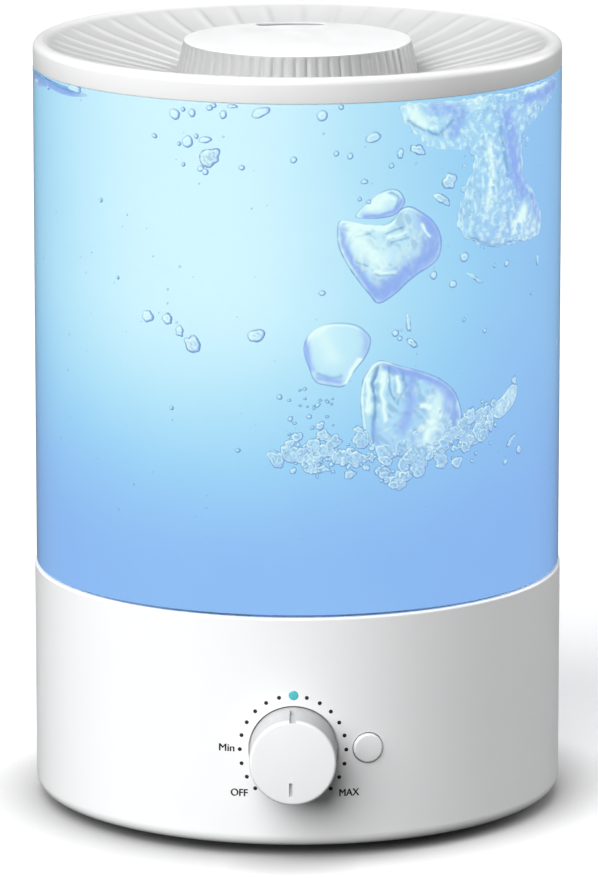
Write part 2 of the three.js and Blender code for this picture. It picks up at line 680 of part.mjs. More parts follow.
function makeValve() {
  const flangeLow = TANK_FLOOR_LOW - 4;
  const tubeWall = turned([
    [CAGE_R - 2.3, CAGE_LOW],
    [CAGE_R, CAGE_LOW],
    [CAGE_R, flangeLow],
    [18, flangeLow],
    [18, TANK_FLOOR_LOW - 1.6],
    [CAGE_R, TANK_FLOOR_LOW - 1.6],
    [CAGE_R, SEAT_Z],
    [CAGE_R - 2.3, SEAT_Z],
  ], MEDIUM_ROUND);
  const spider = ring(STEM_R + 0.4, CAGE_R - 1, SPIDER_LOW, SPIDER_LOW + 2, MEDIUM_ROUND);
  const flowHoles = aroundAxis(4, 7.6, 0).map(([x, y]) => rod(2.6, 60, 100).translate(x, y, 0));
  const windows = [0, 1].map((i) => block(40, 8, 73, 80).rotateZ((Math.PI / 2) * i));
  const cage = cut(union(tubeWall, spider), ...flowHoles, ...windows);
  piece('valve_cage', 'white_inner', cage.translate([VALVE_X, 0, 0]));
  piece('valve_gasket', 'clear_silicone',
    ring(CAGE_R + GAP, 17.5, TANK_FLOOR_LOW - 1.3, TANK_FLOOR_LOW - GAP, MEDIUM_ROUND)
      .translate(VALVE_X, 0, 0));

  const sealLow = SEAT_Z + GAP + VALVE_DROP;
  piece('valve_plunger', 'white_inner', turned([
    [0, PUSH_DISC_LOW],
    [8, PUSH_DISC_LOW],
    [8, PUSH_DISC_LOW + 2],
    [STEM_R, PUSH_DISC_LOW + 2],
    [STEM_R, sealLow + 1.6],
    [10.5, sealLow + 1.6],
    [10.5, sealLow + 3.6],
    [0, sealLow + 3.6],
  ], MEDIUM_ROUND, false).translate(VALVE_X, 0, 0));
  piece('valve_seal', 'grey_rubber',
    ring(STEM_R + GAP, 13, sealLow, sealLow + 1.3, MEDIUM_ROUND).translate(VALVE_X, 0, 0));
  const wire = 0.55;
  const coilLow = PUSH_DISC_LOW + 2.4 + wire;
  const coil = new Helix(SPRING_R, coilLow, SPIDER_LOW - 0.4 - wire, SPRING_TURNS);
  piece('valve_spring', 'steel', tube(coil, wire, 10 * SPRING_TURNS, 6).translate(VALVE_X, 0, 0));
}

// ---- Lid and mist cap ---------------------------------------------------

const LIP_R = 88.8;
const LIP_LOW = 254;
const SOCKET_R = 38.6;
const SOCKET_BORE = 36.2;
const SOCKET_TOP = 264;
const SOCKET_FLOOR = 252.1;
const THROAT_R = 22.3;
const DISH_INNER_R = 44.5;
const DISH_OUTER_R = 86.4;
const DISH_BENDS = [[80, 268.4], [66, 264.2]]; // radii and heights where the dish steepens

function makeLid() {
  const edge = TANK_R - RIM_R;
  const rimRound = quarter(RIM_R, RIM_TOP - edge, edge, edge, 0, 3);
  piece('lid_cover', 'white_shell', turned([
    [TANK_R, LID_BOTTOM],
    ...rimRound,
    [RIM_R - 1.4, RIM_TOP - 0.5],
    [DISH_OUTER_R, DISH_HIGH],
    ...DISH_BENDS,
    [DISH_INNER_R, DISH_LOW],
    [SOCKET_R, DISH_LOW],
    [SOCKET_R, SOCKET_TOP],
    [SOCKET_BORE, SOCKET_TOP],
    [SOCKET_BORE, SOCKET_FLOOR + WALL],
    [THROAT_R + 2.2, SOCKET_FLOOR + WALL],
    [THROAT_R + 2.2, SOCKET_FLOOR + 6],
    [THROAT_R, SOCKET_FLOOR + 6],
    [THROAT_R, SOCKET_FLOOR],
    [SOCKET_R, SOCKET_FLOOR],
    [SOCKET_R, DISH_LOW - WALL],
    [DISH_INNER_R, DISH_LOW - WALL],
    ...DISH_BENDS.map(([r, z]) => [r, z - WALL]).reverse(),
    [LIP_R - 2.4, DISH_HIGH - WALL],
    [LIP_R - 2.4, LIP_LOW],
    [LIP_R, LIP_LOW],
    [LIP_R, LID_BOTTOM],
  ], ROUND));
  piece('lid_gasket', 'clear_silicone',
    ring(LIP_R + GAP, TANK_INNER_R - GAP, LIP_LOW + 3, LIP_LOW + 6, ROUND));
}

const SLOT_INNER_R = 31.4;
const SLOT_OUTER_R = 37.6;
const SLOT_TURN = THREE.MathUtils.degToRad(5); // off straight back, towards -X
const SLOT_HALF = THREE.MathUtils.degToRad(16);

function makeCap() {
  const shell = turned([
    [0, CAP_TOP],
    [CAP_TOP_R - 1, CAP_TOP],
    [CAP_TOP_R, CAP_TOP - 1],
    [CAP_SKIRT_R, DISH_LOW + 0.8],
    [CAP_SKIRT_R, DISH_LOW + GAP],
    [CAP_SKIRT_R - 1.8, DISH_LOW + GAP],
    [CAP_TOP_R - 1.6, CAP_TOP - WALL],
    [0, CAP_TOP - WALL],
  ], ROUND, false);
  const middle = Math.PI / 2 + SLOT_TURN;
  const outline = new THREE.Shape();
  outline.absarc(0, 0, SLOT_OUTER_R, middle - SLOT_HALF, middle + SLOT_HALF, false);
  outline.absarc(0, 0, SLOT_INNER_R, middle + SLOT_HALF, middle - SLOT_HALF, true);
  const deep = { depth: 10, bevelEnabled: false, curveSegments: 6 };
  const slot = new THREE.ExtrudeGeometry(outline, deep).translate(0, 0, CAP_TOP - 6);
  piece('mist_cap', 'white_shell', cut(solid(shell), slot));

  const posts = aroundAxis(3, 12, 90).map(([x, y]) => (
    rod(1.6, 266, CAP_TOP - WALL - GAP).translate(x, y, 0)
  ));
  piece('drip_baffle', 'white_inner', union(rod(20, 265.4, 267, MEDIUM_ROUND), ...posts));
}

makeBase();
makeTransducer();
makeFan();
makeKnob();
makePotentiometer();
makeButton();
makeLamp();
makeInlet();
makeLeads();
makeFloat();
makeTank();
makeValve();
makeLid();
makeCap();

export default group;
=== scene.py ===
"""Looks of the cool mist humidifier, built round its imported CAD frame.

Shapes are drawn in millimetres about the body's own vertical axis, and put in
place in metres by PLACE. A turn is an angle about that axis, from the front
(-Y) towards +X.
"""

import json
import math
import random

import bmesh
import bpy
from mathutils import Matrix, Vector, noise


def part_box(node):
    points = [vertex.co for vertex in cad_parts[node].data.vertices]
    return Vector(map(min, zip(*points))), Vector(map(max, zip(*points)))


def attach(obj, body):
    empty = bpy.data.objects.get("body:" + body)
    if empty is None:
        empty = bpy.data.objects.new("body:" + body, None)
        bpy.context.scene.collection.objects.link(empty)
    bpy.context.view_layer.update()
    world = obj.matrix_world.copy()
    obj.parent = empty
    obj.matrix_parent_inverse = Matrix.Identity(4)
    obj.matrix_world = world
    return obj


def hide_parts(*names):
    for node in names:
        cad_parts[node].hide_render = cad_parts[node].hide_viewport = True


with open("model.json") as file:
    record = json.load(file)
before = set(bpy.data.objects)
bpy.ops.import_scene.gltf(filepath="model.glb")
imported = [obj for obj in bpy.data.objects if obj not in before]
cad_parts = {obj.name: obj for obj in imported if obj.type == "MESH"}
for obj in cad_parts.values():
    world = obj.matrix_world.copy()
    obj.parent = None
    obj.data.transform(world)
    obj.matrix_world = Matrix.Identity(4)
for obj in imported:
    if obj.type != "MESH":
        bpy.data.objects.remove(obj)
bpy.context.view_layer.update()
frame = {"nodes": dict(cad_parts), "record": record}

# ---- Driving dimensions, mm -------------------------------------------------

MM = 0.001
tank_low, tank_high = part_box("tank_shell")
AXIS = Vector(((tank_low.x + tank_high.x) / 2, (tank_low.y + tank_high.y) / 2, 0))
PLACE = Matrix.Translation(AXIS) @ Matrix.Scale(MM, 4)

ROUND = 256
WALL = 2.5
BASE_R = 93.6
BASE_INNER_R = BASE_R - WALL
BASE_BOTTOM = 4
EDGE_IN = 3  # the bottom edge's rounding, inwards and upwards
EDGE_UP = 4
BASE_TOP = 85.2
TANK_R = 93
TANK_BOTTOM = 85.7
TANK_TOP = 263.4
WATER_R = 92.3
LID_BOTTOM = 263.7
RIM_TOP = 272.5
DISH_LOW = 259.6
DISH_HIGH = 272.2
DISH_IN = 44.5
DISH_OUT = 89
CAP_TOP = 272.2
CAP_TOP_R = 39.9
CAP_SKIRT_R = 42.6
KNOB_Z = 38.6
KNOB_FACE = BASE_R + 18
KNOB_R = 15.15
KNOB_FACE_R = 15
POCKET_R = 15.55
POCKET_FLOOR = 91
BUTTON_TURN = math.radians(15.9)
BUTTON_BORE = 5.45
BUTTON_FACE = BASE_R + 1
LAMP_Z = KNOB_Z + 19.4
LAMP_R = 1.75
INLET_Z = 24
COVER_R = 85.3  # the opening that the bottom cover fills
COVER_TOP = 7
LEDGE_TOP = 77.2  # the ledge inside the base that the tank stands on
LEDGE_LOW = 75.2
LEDGE_ROOT = 72.2
LEDGE_IN = 5
WATER_LOW = 88.8  # the water's ends, between the tank's floor and the lid's skirt
WATER_HIGH = 253.6
WATER_SHOULDER_R = 90.6
WATER_BORE_R = 20.8  # the water's hole round the chimney
HUB_R = 5.8
HUB_LOW = 96
SHAFT_R = 3


# ---- Mesh helpers -----------------------------------------------------------

def polar(radius, turn, z):
    return Vector((radius * math.sin(turn), -radius * math.cos(turn), z))


def on_side(turn, height):
    """Moves a shape drawn about +Z, with Z as the distance from the body's axis, to its side."""
    spin = Matrix.Rotation(turn, 4, "Z") @ Matrix.Rotation(math.pi / 2, 4, "X")
    return Matrix.Translation((0, 0, height)) @ spin


def rounded(profile, steps=5):
    """Profile with its corners rounded: a corner is (radius, z) or (radius, z, rounding)."""
    points = []
    for i, (r, z, *rounding) in enumerate(profile):
        here = Vector((r, z))
        if not rounding:
            points.append((r, z))
            continue
        back = (Vector(profile[i - 1][:2]) - here).normalized()
        ahead = (Vector(profile[(i + 1) % len(profile)][:2]) - here).normalized()
        half = back.angle(ahead) / 2
        centre = here + (back + ahead).normalized() * rounding[0] / math.sin(half)
        reach = rounding[0] / math.tan(half)
        start = (here + back * reach - centre).normalized()
        end = (here + ahead * reach - centre).normalized()
        for k in range(steps + 1):
            points.append(tuple(centre + start.slerp(end, k / steps) * rounding[0]))
    return points


def bridge(bm, low, high):
    """Joins two rings of vertices with faces; a ring of one vertex makes a fan."""
    count = max(len(low), len(high))
    for i in range(count):
        j = (i + 1) % count
        corners = [low[i % len(low)], low[j % len(low)], high[j % len(high)], high[i % len(high)]]
        corners = list(dict.fromkeys(corners))
        if len(corners) > 2:
            bm.faces.new(corners)


def even(count):
    """Evenly spaced places round the axis, for revolve."""
    return lambda i, r, z: (r, math.tau * i / count, z)


def revolve(profile, count=ROUND, place=None):
    """Closed turned solid. place(i, r, z) gives the (radius, turn, z) of vertex i of a ring."""
    place = place or even(count)
    bm = bmesh.new()
    rings = []
    for r, z in profile:
        if r < 1e-6:
            rings.append([bm.verts.new((0, 0, z))])
        else:
            rings.append([bm.verts.new(polar(*place(i, r, z))) for i in range(count)])
    closed = profile[0][0] > 1e-6
    for low, high in zip(rings, rings[1:] + (rings[:1] if closed else [])):
        bridge(bm, low, high)
    bmesh.ops.recalc_face_normals(bm, faces=bm.faces)
    return bm


def box(width, depth, low, high):
    bm = bmesh.new()
    bmesh.ops.create_cube(bm, size=1)
    bm.transform(Matrix.Diagonal((width, depth, high - low, 1)))
    bm.transform(Matrix.Translation((0, 0, (low + high) / 2)))
    return bm


def rod(radius, low, high, count=64):
    return revolve([(0, low), (radius, low), (radius, high), (0, high)], count)


def moved(bm, matrix):
    bm.transform(matrix)
    return bm


def make_object(name, bm):
    mesh = bpy.data.meshes.new(name)
    bm.to_mesh(mesh)
    bm.free()
    made = bpy.data.objects.new(name, mesh)
    bpy.context.scene.collection.objects.link(made)
    return made


def combine(bm, operation, *others):
    """bm joined with, or cut by, the other closed shapes."""
    target = make_object("target", bm)
    tools = [make_object("tool", other) for other in others]
    for tool in tools:
        modifier = target.modifiers.new("combine", "BOOLEAN")
        modifier.operation = operation
        modifier.solver = "EXACT"
        modifier.object = tool
    graph = bpy.context.evaluated_depsgraph_get()
    mesh = bpy.data.meshes.new_from_object(target.evaluated_get(graph))
    result = bmesh.new()
    result.from_mesh(mesh)
    for used in [target, *tools]:
        data = used.data
        bpy.data.objects.remove(used)
        bpy.data.meshes.remove(data)
    bpy.data.meshes.remove(mesh)
    return result


def hole(radius, floor, turn, height, edge, count=96):
    """Cutter for a round hole in the base's side, with its rim rounded along the curved surface."""
    bm = bmesh.new()
    rings = []
    stations = [(radius + edge + 0.4, 0.4), (radius + edge, 0.0)]
    for k in range(1, 4):
        bend = math.pi / 2 * k / 3
        stations.append((radius + edge * (1 - math.sin(bend)), -edge * (1 - math.cos(bend))))
    for ring_r, rise in stations:
        ring = []
        for i in range(count):
            around = math.tau * i / count
            x = ring_r * math.cos(around)
            out = math.sqrt(BASE_R ** 2 - x ** 2) + rise
            ring.append(bm.verts.new((x, ring_r * math.sin(around), out)))
        rings.append(ring)
    bottom = [bm.verts.new((v.co.x, v.co.y, floor)) for v in rings[-1]]
    rings = [[bm.verts.new((0, 0, BASE_R + 2))]] + rings + [bottom, [bm.verts.new((0, 0, floor))]]
    for low, high in zip(rings, rings[1:]):
        bridge(bm, low, high)
    bmesh.ops.recalc_face_normals(bm, faces=bm.faces)
    return moved(bm, on_side(turn, height))


def piece(name, bm, body, material, replaces=(), sharp=35):
    """Puts a finished shape in place as a named piece that rides on a CAD body."""
    made = make_object(name, moved(bm, PLACE))
    made.data.shade_smooth()
    made.data.set_sharp_from_angle(angle=math.radians(sharp))
    made.data.materials.append(material)
    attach(made, body)
    if replaces:
        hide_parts(*replaces)
    return made


# ---- Materials --------------------------------------------------------------

class Shader:
    """Short calls for building one node material from the object's own coordinates."""

    def __init__(self, name):
        self.material = bpy.data.materials.new(name)
        self.material.use_nodes = True
        self.tree = self.material.node_tree
        self.tree.nodes.clear()
        self.place = self.node("TexCoord").outputs["Object"]

    def node(self, kind, inputs=None, **settings):
        made = self.tree.nodes.new("ShaderNode" + kind)
        for key, value in settings.items():
            setattr(made, key, value)
        for key, value in (inputs or {}).items():
            if isinstance(value, bpy.types.NodeSocket):
                self.tree.links.new(value, made.inputs[key])
            else:
                made.inputs[key].default_value = value
        return made

    def math(self, operation, a, b=0.0, clamp=False):
        return self.node("Math", {0: a, 1: b}, operation=operation, use_clamp=clamp).outputs[0]

    def noise(self, scale, detail=3.0, stretch=(1, 1, 1)):
        where = self.place
        if stretch != (1, 1, 1):
            where = self.node("Mapping", {"Vector": where, "Scale": stretch}).outputs[0]
        return self.node("TexNoise", {"Vector": where, "Scale": scale, "Detail": detail}).outputs[0]

    def remap(self, value, low, high, to_low, to_high, smooth=False):
        settings = {"interpolation_type": "SMOOTHSTEP" if smooth else "LINEAR"}
        inputs = {0: value, 1: low, 2: high, 3: to_low, 4: to_high}
        return self.node("MapRange", inputs, **settings).outputs[0]

    def mix(self, factor, a, b):
        made = self.node("Mix", data_type="RGBA")
        for index, value in ((0, factor), (6, a), (7, b)):
            if isinstance(value, bpy.types.NodeSocket):
                self.tree.links.new(value, made.inputs[index])
            elif index:
                made.inputs[index].default_value = (*value, 1)
            else:
                made.inputs[index].default_value = value
        return made.outputs[2]

    def ramp(self, factor, stops):
        made = self.node("ValToRGB", {0: factor})
        elements = made.color_ramp.elements
        while len(elements) < len(stops):
            elements.new(0.5)
        for element, (position, colour) in zip(elements, stops):
            element.position = position
            element.color = (*colour, 1)
        return made.outputs[0]

    def bump(self, height, strength, distance):
        inputs = {"Height": height, "Strength": strength, "Distance": distance}
        return self.node("Bump", inputs).outputs[0]

    def surface(self, **inputs):
        """Ends the material in a Principled shader; names use _ for a space."""
        named = {key.replace("_", " "): value for key, value in inputs.items()}
        shader = self.node("BsdfPrincipled", named)
        self.output(shader.outputs[0])
        return self.material

    def output(self, shader):
        self.node("OutputMaterial", {"Surface": shader})


def shades(colour, spread):
    """A darker and a lighter neighbour of a colour."""
    return tuple(c * (1 - spread) for c in colour), tuple(min(1, c * (1 + spread)) for c in colour)


def moulded(name, colour, roughness, spread=0.03, grain=900, relief=0.03, stretch=(1, 1, 1), **more):
    """Plastic, rubber, metal or ceramic: mottled colour, uneven gloss and a fine surface grain."""
    s = Shader(name)
    dark, light = shades(colour, spread)
    tint = s.mix(s.noise(38, 4), dark, light)
    gloss = s.remap(s.noise(160, 2, stretch), 0.3, 0.7, roughness * 0.85, roughness * 1.15)
    normal = s.bump(s.noise(grain, 2, stretch), 0.25, relief * MM)
    return s.surface(Base_Color=tint, Roughness=gloss, Normal=normal, **more)


def from_axis(s):
    """The offset from the body's own axis, in metres, and the same with its height left out."""
    offset = s.node("VectorMath", {0: s.place, 1: tuple(AXIS)}, operation="SUBTRACT").outputs[0]
    flat = s.node("VectorMath", {0: offset, 1: (1, 1, 0)}, operation="MULTIPLY").outputs[0]
    return offset, flat


def painted_shade_ramp(name, axis, low, high, under, over, roughness):
    """Moulded plastic with painted shade: its colour goes from `under` to `over` between two places
    (mm) along an axis, darker where shade falls.

    The axis is "X", "Y" or "Z", or "R" for the distance from the body's own axis.
    """
    s = Shader(name)
    if axis == "R":
        along = s.node("VectorMath", {0: from_axis(s)[1]}, operation="LENGTH").outputs["Value"]
    else:
        along = s.node("SeparateXYZ", {0: s.place}).outputs[axis]
    share = s.remap(along, low * MM, high * MM, 0, 1, smooth=True)
    cloud = s.remap(s.noise(38, 4), 0.2, 0.8, 0.985, 1.015)
    tint = s.mix(share, under, over)
    tint = s.node("VectorMath", {0: tint, 1: cloud}, operation="MULTIPLY").outputs[0]
    gloss = s.remap(s.noise(160, 2), 0.3, 0.7, roughness * 0.85, roughness * 1.15)
    normal = s.bump(s.noise(1500, 2), 0.25, 0.012 * MM)
    return s.surface(Base_Color=tint, Roughness=gloss, Normal=normal)


def circuit_board():
    s = Shader("board")
    tracks = s.node("TexBrick", {
        "Vector": s.place, "Scale": 420.0, "Color1": (0.02, 0.16, 0.07, 1),
        "Color2": (0.03, 0.2, 0.09, 1), "Mortar": (0.08, 0.32, 0.16, 1), "Mortar Size": 0.06,
    })
    tint = s.mix(s.noise(60), (0.02, 0.14, 0.06), tracks.outputs[0])
    normal = s.bump(tracks.outputs[1], 0.3, 0.05 * MM)
    return s.surface(Base_Color=tint, Roughness=s.remap(s.noise(300), 0, 1, 0.3, 0.55), Normal=normal)


SHELL_COLOUR = (0.87, 0.875, 0.88)

FINISHES = {
    "white_shell": moulded("white_shell", SHELL_COLOUR, 0.34, 0.012, 1500, 0.012),
    "white_inner": moulded("white_inner", (0.78, 0.79, 0.8), 0.5, 0.03, 1000, 0.03),
    "grey_rubber": moulded("grey_rubber", (0.05, 0.052, 0.056), 0.8, 0.15, 1400, 0.06),
    "clear_silicone": moulded("clear_silicone", (0.66, 0.69, 0.72), 0.5, 0.04, 700, 0.03,
                              Transmission_Weight=0.35),
    "steel": moulded("steel", (0.55, 0.56, 0.58), 0.32, 0.08, 900, 0.02, Metallic=1.0),
    "brass": moulded("brass", (0.62, 0.45, 0.17), 0.3, 0.1, 900, 0.02, Metallic=1.0),
    "aluminium": moulded("aluminium", (0.6, 0.61, 0.63), 0.4, 0.06, 700, 0.03, (1, 1, 8),
                         Metallic=1.0),
    "ceramic": moulded("ceramic", (0.78, 0.72, 0.58), 0.25, 0.05, 500, 0.02, Coat_Weight=0.4),
    "board": circuit_board(),
    "black_plastic": moulded("black_plastic", (0.018, 0.018, 0.02), 0.5, 0.25, 1300, 0.04),
    "foam": moulded("foam", (0.82, 0.79, 0.7), 0.85, 0.06, 1800, 0.12),
    "lead": moulded("lead", (0.02, 0.02, 0.022), 0.6, 0.2, 900, 0.03),
    "print": moulded("print", (0.006, 0.006, 0.007), 0.6, 0.2, 2400, 0.01),
}
# Painted shade: the lid's sunken dish, inside its rim, is coloured darker than the rim and its outer
# wall.
LID_PAINTED_SHADE = painted_shade_ramp("lid_white_painted_shade", "R", DISH_OUT - 2.5, DISH_OUT + 0.3, (0.58, 0.582, 0.585),
                      (0.79, 0.792, 0.795), 0.36)
# Painted shade: the mist cap's skirt and the walls of its outlet slot are coloured grey, darker than
# its white top.
CAP_PAINTED_SHADE = painted_shade_ramp("cap_white_painted_shade", "Z", CAP_TOP - 0.6, CAP_TOP - 0.15, (0.39, 0.392, 0.395),
                      (0.9, 0.905, 0.91), 0.4)
# Painted shade: the knob's side, from the edge of its face backwards, is coloured darker grey than its
# face.
KNOB_PAINTED_SHADE = painted_shade_ramp("knob_white_painted_shade", "Y", AXIS.y / MM - KNOB_FACE, AXIS.y / MM - KNOB_FACE + 1.6,
                       SHELL_COLOUR, (0.55, 0.552, 0.556), 0.34)


def make_lamp_glow():
    s = Shader("lamp")
    glow = s.mix(s.noise(700), (0.03, 0.26, 0.29), (0.07, 0.38, 0.41))
    normal = s.bump(s.noise(1600), 0.2, 0.01 * MM)
    gloss = s.remap(s.noise(400), 0, 1, 0.15, 0.35)
    return s.surface(Base_Color=glow, Roughness=gloss, Normal=normal, Emission_Color=glow,
                     Emission_Strength=0.55)


FINISHES["lamp"] = make_lamp_glow()


def lobe(s, heading, turn, spread):
    """1 where the surface faces the given turn, falling away smoothly round the body; it shapes the
    water's painted pools of light.
    """
    facing = s.node("VectorMath", {0: heading, 1: polar(1, math.radians(turn), 0)},
                    operation="DOT_PRODUCT").outputs["Value"]
    return s.math("EXPONENT", s.math("MULTIPLY", s.math("SUBTRACT", facing, 1.0), spread))


def water_tint_and_painted_light(s):
    """The water's blue tint with painted light: a painted pool of pale cyan light high on the left of
    the front and a fainter one at the back, deeper blue below and to the sides.
    """
    offset, flat = from_axis(s)
    heading = s.node("VectorMath", {0: flat}, operation="NORMALIZE").outputs[0]
    height = s.node("SeparateXYZ", {0: offset}).outputs[2]
    # Painted light: a pool facing the front left and a fainter one facing the back, both fading out
    # towards the bottom of the tank.
    front = lobe(s, heading, -22, 2.2)
    back = s.math("MULTIPLY", lobe(s, heading, 165, 2.0), 0.7)
    rise = s.remap(height, 0.1, 0.2, 0.05, 1.0, smooth=True)
    level = s.math("MULTIPLY", s.math("ADD", front, back), rise)
    cloud = s.remap(s.noise(16, 2), 0.25, 0.75, -0.04, 0.04)
    # From the water's deep blue tint where no light is painted to pale cyan where the painted light is
    # strongest.
    return s.ramp(s.math("ADD", level, cloud, clamp=True), [
        (0, (0.265, 0.485, 0.885)),
        (0.35, (0.345, 0.66, 0.92)),
        (0.65, (0.46, 0.78, 0.945)),
        (1, (0.66, 0.925, 1.0)),
    ])


def painted_glow(s, colour, **more):
    """Painted glow: water and bubbles are no lamp, yet most of their colour is given as emission,
    which stands in for light through the tank.
    """
    soft = s.node("Mix", {0: 0.94, 6: colour, 7: (0, 0, 0, 1)}, data_type="RGBA").outputs[2]
    return s.surface(Base_Color=soft, Roughness=s.remap(s.noise(90), 0, 1, 0.3, 0.5),
                     Emission_Color=colour, Emission_Strength=0.96, Specular_IOR_Level=0.1, **more)


def make_water():
    s = Shader("water")
    return painted_glow(s, water_tint_and_painted_light(s), Normal=s.bump(s.noise(30, 2), 0.2, 0.4 * MM))


def make_painted_bubble_shading():
    """Bubbles show the water's tint and painted light, with painted shade at their outline and folds,
    painted blue shade on one side and painted highlights.
    """
    s = Shader("bubble_film")
    painted_shading = s.node("VertexColor", layer_name="painted_shading")
    dark, light, blue = s.node("SeparateColor", {0: painted_shading.outputs[0]}).outputs[:3]
    # Painted light and shade from the bubbles' per-vertex attribute: blue adds painted blue shade,
    # dark a painted dark outline and fold shade, light painted highlights.
    colour = s.mix(blue, water_tint_and_painted_light(s), (0.27, 0.42, 0.88))
    colour = s.mix(dark, colour, (0.13, 0.31, 0.6))
    colour = s.mix(light, colour, (0.78, 1.0, 0.97))
    return painted_glow(s, colour, Normal=s.bump(s.noise(600, 2), 0.2, 0.05 * MM))


def make_clear_tank():
    s = Shader("clear_tank")
    tint = s.mix(s.noise(24), (0.93, 0.97, 1.0), (0.97, 0.99, 1.0))
    gloss = s.remap(s.noise(60), 0.3, 0.7, 0.03, 0.09)
    normal = s.bump(s.noise(35, 2), 0.15, 0.05 * MM)
    return s.surface(Base_Color=tint, Roughness=gloss, Normal=normal, Transmission_Weight=1.0,
                     IOR=1.15)


FINISHES["clear_tank"] = make_clear_tank()


# ---- Base -------------------------------------------------------------------

def round_wall(made, radius, low, high):
    """Gives the faces on a turned wall the true normals of a cylinder."""
    mesh = made.data
    outwards = []
    for v in mesh.vertices:
        flat = Vector((v.co.x - AXIS.x, v.co.y - AXIS.y, 0)) / MM
        on_wall = abs(flat.length - radius) < 0.1 and low - 0.01 < v.co.z / MM < high + 0.01
        outwards.append(flat.normalized() if on_wall else None)
    normals = []
    for face in mesh.polygons:
        whole = all(outwards[i] for i in face.vertices)
        for i in face.vertices:
            normals.append(outwards[i] if whole else (0, 0, 0))
    mesh.normals_split_custom_set(normals)


def make_base():
    low_edge = []
    for k in range(17):
        bend = -math.pi / 2 * (1 - k / 16)
        low_edge.append((BASE_R - EDGE_IN + EDGE_IN * math.cos(bend),
                         BASE_BOTTOM + EDGE_UP + EDGE_UP * math.sin(bend)))
    shell = revolve(rounded([
        (COVER_R, BASE_BOTTOM),
        *low_edge,
        (BASE_R, BASE_TOP, 0.8),
        (BASE_INNER_R, BASE_TOP, 0.4),
        (BASE_INNER_R, LEDGE_TOP),
        (BASE_INNER_R - LEDGE_IN, LEDGE_TOP, 0.4),
        (BASE_INNER_R - LEDGE_IN, LEDGE_LOW),
        (BASE_INNER_R, LEDGE_ROOT),
        (BASE_INNER_R, COVER_TOP),
        (COVER_R, COVER_TOP),
    ]))
    shell = combine(
        shell, "UNION",
        moved(rod(18, 88, POCKET_FLOOR + 0.4), on_side(0, KNOB_Z)),
        moved(box(22, 18, 84, 92), on_side(math.pi, INLET_Z)),
    )
    shell = combine(
        shell, "DIFFERENCE",
        hole(POCKET_R, POCKET_FLOOR, 0, KNOB_Z, 0.35),
        moved(rod(4.5, 80, 100), on_side(0, KNOB_Z)),
        hole(BUTTON_BORE, 80, BUTTON_TURN, KNOB_Z, 0.3),
        hole(LAMP_R + 0.3, 80, 0, LAMP_Z, 0.15, 48),
        moved(box(18, 14, 86.5, 100), on_side(math.pi, INLET_Z)),
        moved(rod(4.3, 80, 100), on_side(math.pi, INLET_Z)),
    )
    made = piece("base_shell", shell, "base", FINISHES["white_shell"],
                 ["base_housing"])
    round_wall(made, BASE_R, BASE_BOTTOM + EDGE_UP, BASE_TOP - 0.8)


PRINT_RISE = 0.05
DOT_R = 0.7
DOT_CENTRE = (-0.24, -0.2)
DOT_CIRCLE = (18.5, 19.4)  # half width and half height of the ring of dots
LABELS = [
    # text, left edge and baseline from the knob's centre, width, height of the capitals
    ("Min", -26.1, -1.1, 5.4, 2.5),
    ("OFF", -21.9, -16.9, 5.9, 2.5),
    ("MAX", 15.9, -16.7, 6.9, 2.5),
]


def wrap(across, up, out):
    """A point on the base's side, from its place on the flat dial."""
    return polar(BASE_R + out, across / BASE_R, KNOB_Z + up)


def print_dot(bm, across, up):
    rings = []
    for radius, out in ((DOT_R, -0.2), (DOT_R, PRINT_RISE * 0.6), (DOT_R * 0.9, PRINT_RISE)):
        ring = []
        for i in range(20):
            around = math.tau * i / 20
            x = across + radius * math.cos(around)
            y = up + radius * math.sin(around)
            ring.append(bm.verts.new(wrap(x, y, out)))
        rings.append(ring)
    low = [bm.verts.new(wrap(across, up, -0.2))]
    high = [bm.verts.new(wrap(across, up, PRINT_RISE))]
    for lower, upper in zip([low] + rings, rings + [high]):
        bridge(bm, lower, upper)


def print_label(bm, text, left, baseline, width, height, rise):
    curve = bpy.data.curves.new("label", "FONT")
    curve.body = text
    curve.extrude = 0.5
    curve.resolution_u = 6
    holder = bpy.data.objects.new("label", curve)
    bpy.context.scene.collection.objects.link(holder)
    graph = bpy.context.evaluated_depsgraph_get()
    mesh = bpy.data.meshes.new_from_object(holder.evaluated_get(graph))
    xs = [v.co.x for v in mesh.vertices]
    top = max(v.co.y for v in mesh.vertices)
    for v in mesh.vertices:
        across = left + (v.co.x - min(xs)) / (max(xs) - min(xs)) * width
        out = rise if v.co.z > 0 else -0.2
        v.co = wrap(across, baseline + v.co.y / top * height, out)
    glyphs = bmesh.new()
    glyphs.from_mesh(mesh)
    bmesh.ops.remove_doubles(glyphs, verts=glyphs.verts, dist=0.001)
    glyphs.to_mesh(mesh)
    glyphs.free()
    bm.from_mesh(mesh)
    bpy.data.objects.remove(holder)
    bpy.data.curves.remove(curve)
    bpy.data.meshes.remove(mesh)


def make_dial():
    bm = bmesh.new()
    for degrees in range(-135, 136, 15):
        if degrees:
            around = math.radians(degrees)
            print_dot(bm, DOT_CENTRE[0] + DOT_CIRCLE[0] * math.sin(around),
                      DOT_CENTRE[1] + DOT_CIRCLE[1] * math.cos(around))
    for text, left, baseline, width, height in LABELS:
        for k, shift in enumerate((-0.1, 0, 0.1)):  # three overlapping prints make bold letters
            print_label(bm, text, left + shift, baseline + shift / 2, width, height,
                        PRINT_RISE * (1 - 0.15 * k))
    bmesh.ops.recalc_face_normals(bm, faces=bm.faces)
    piece("dial_print", bm, "base", FINISHES["print"])


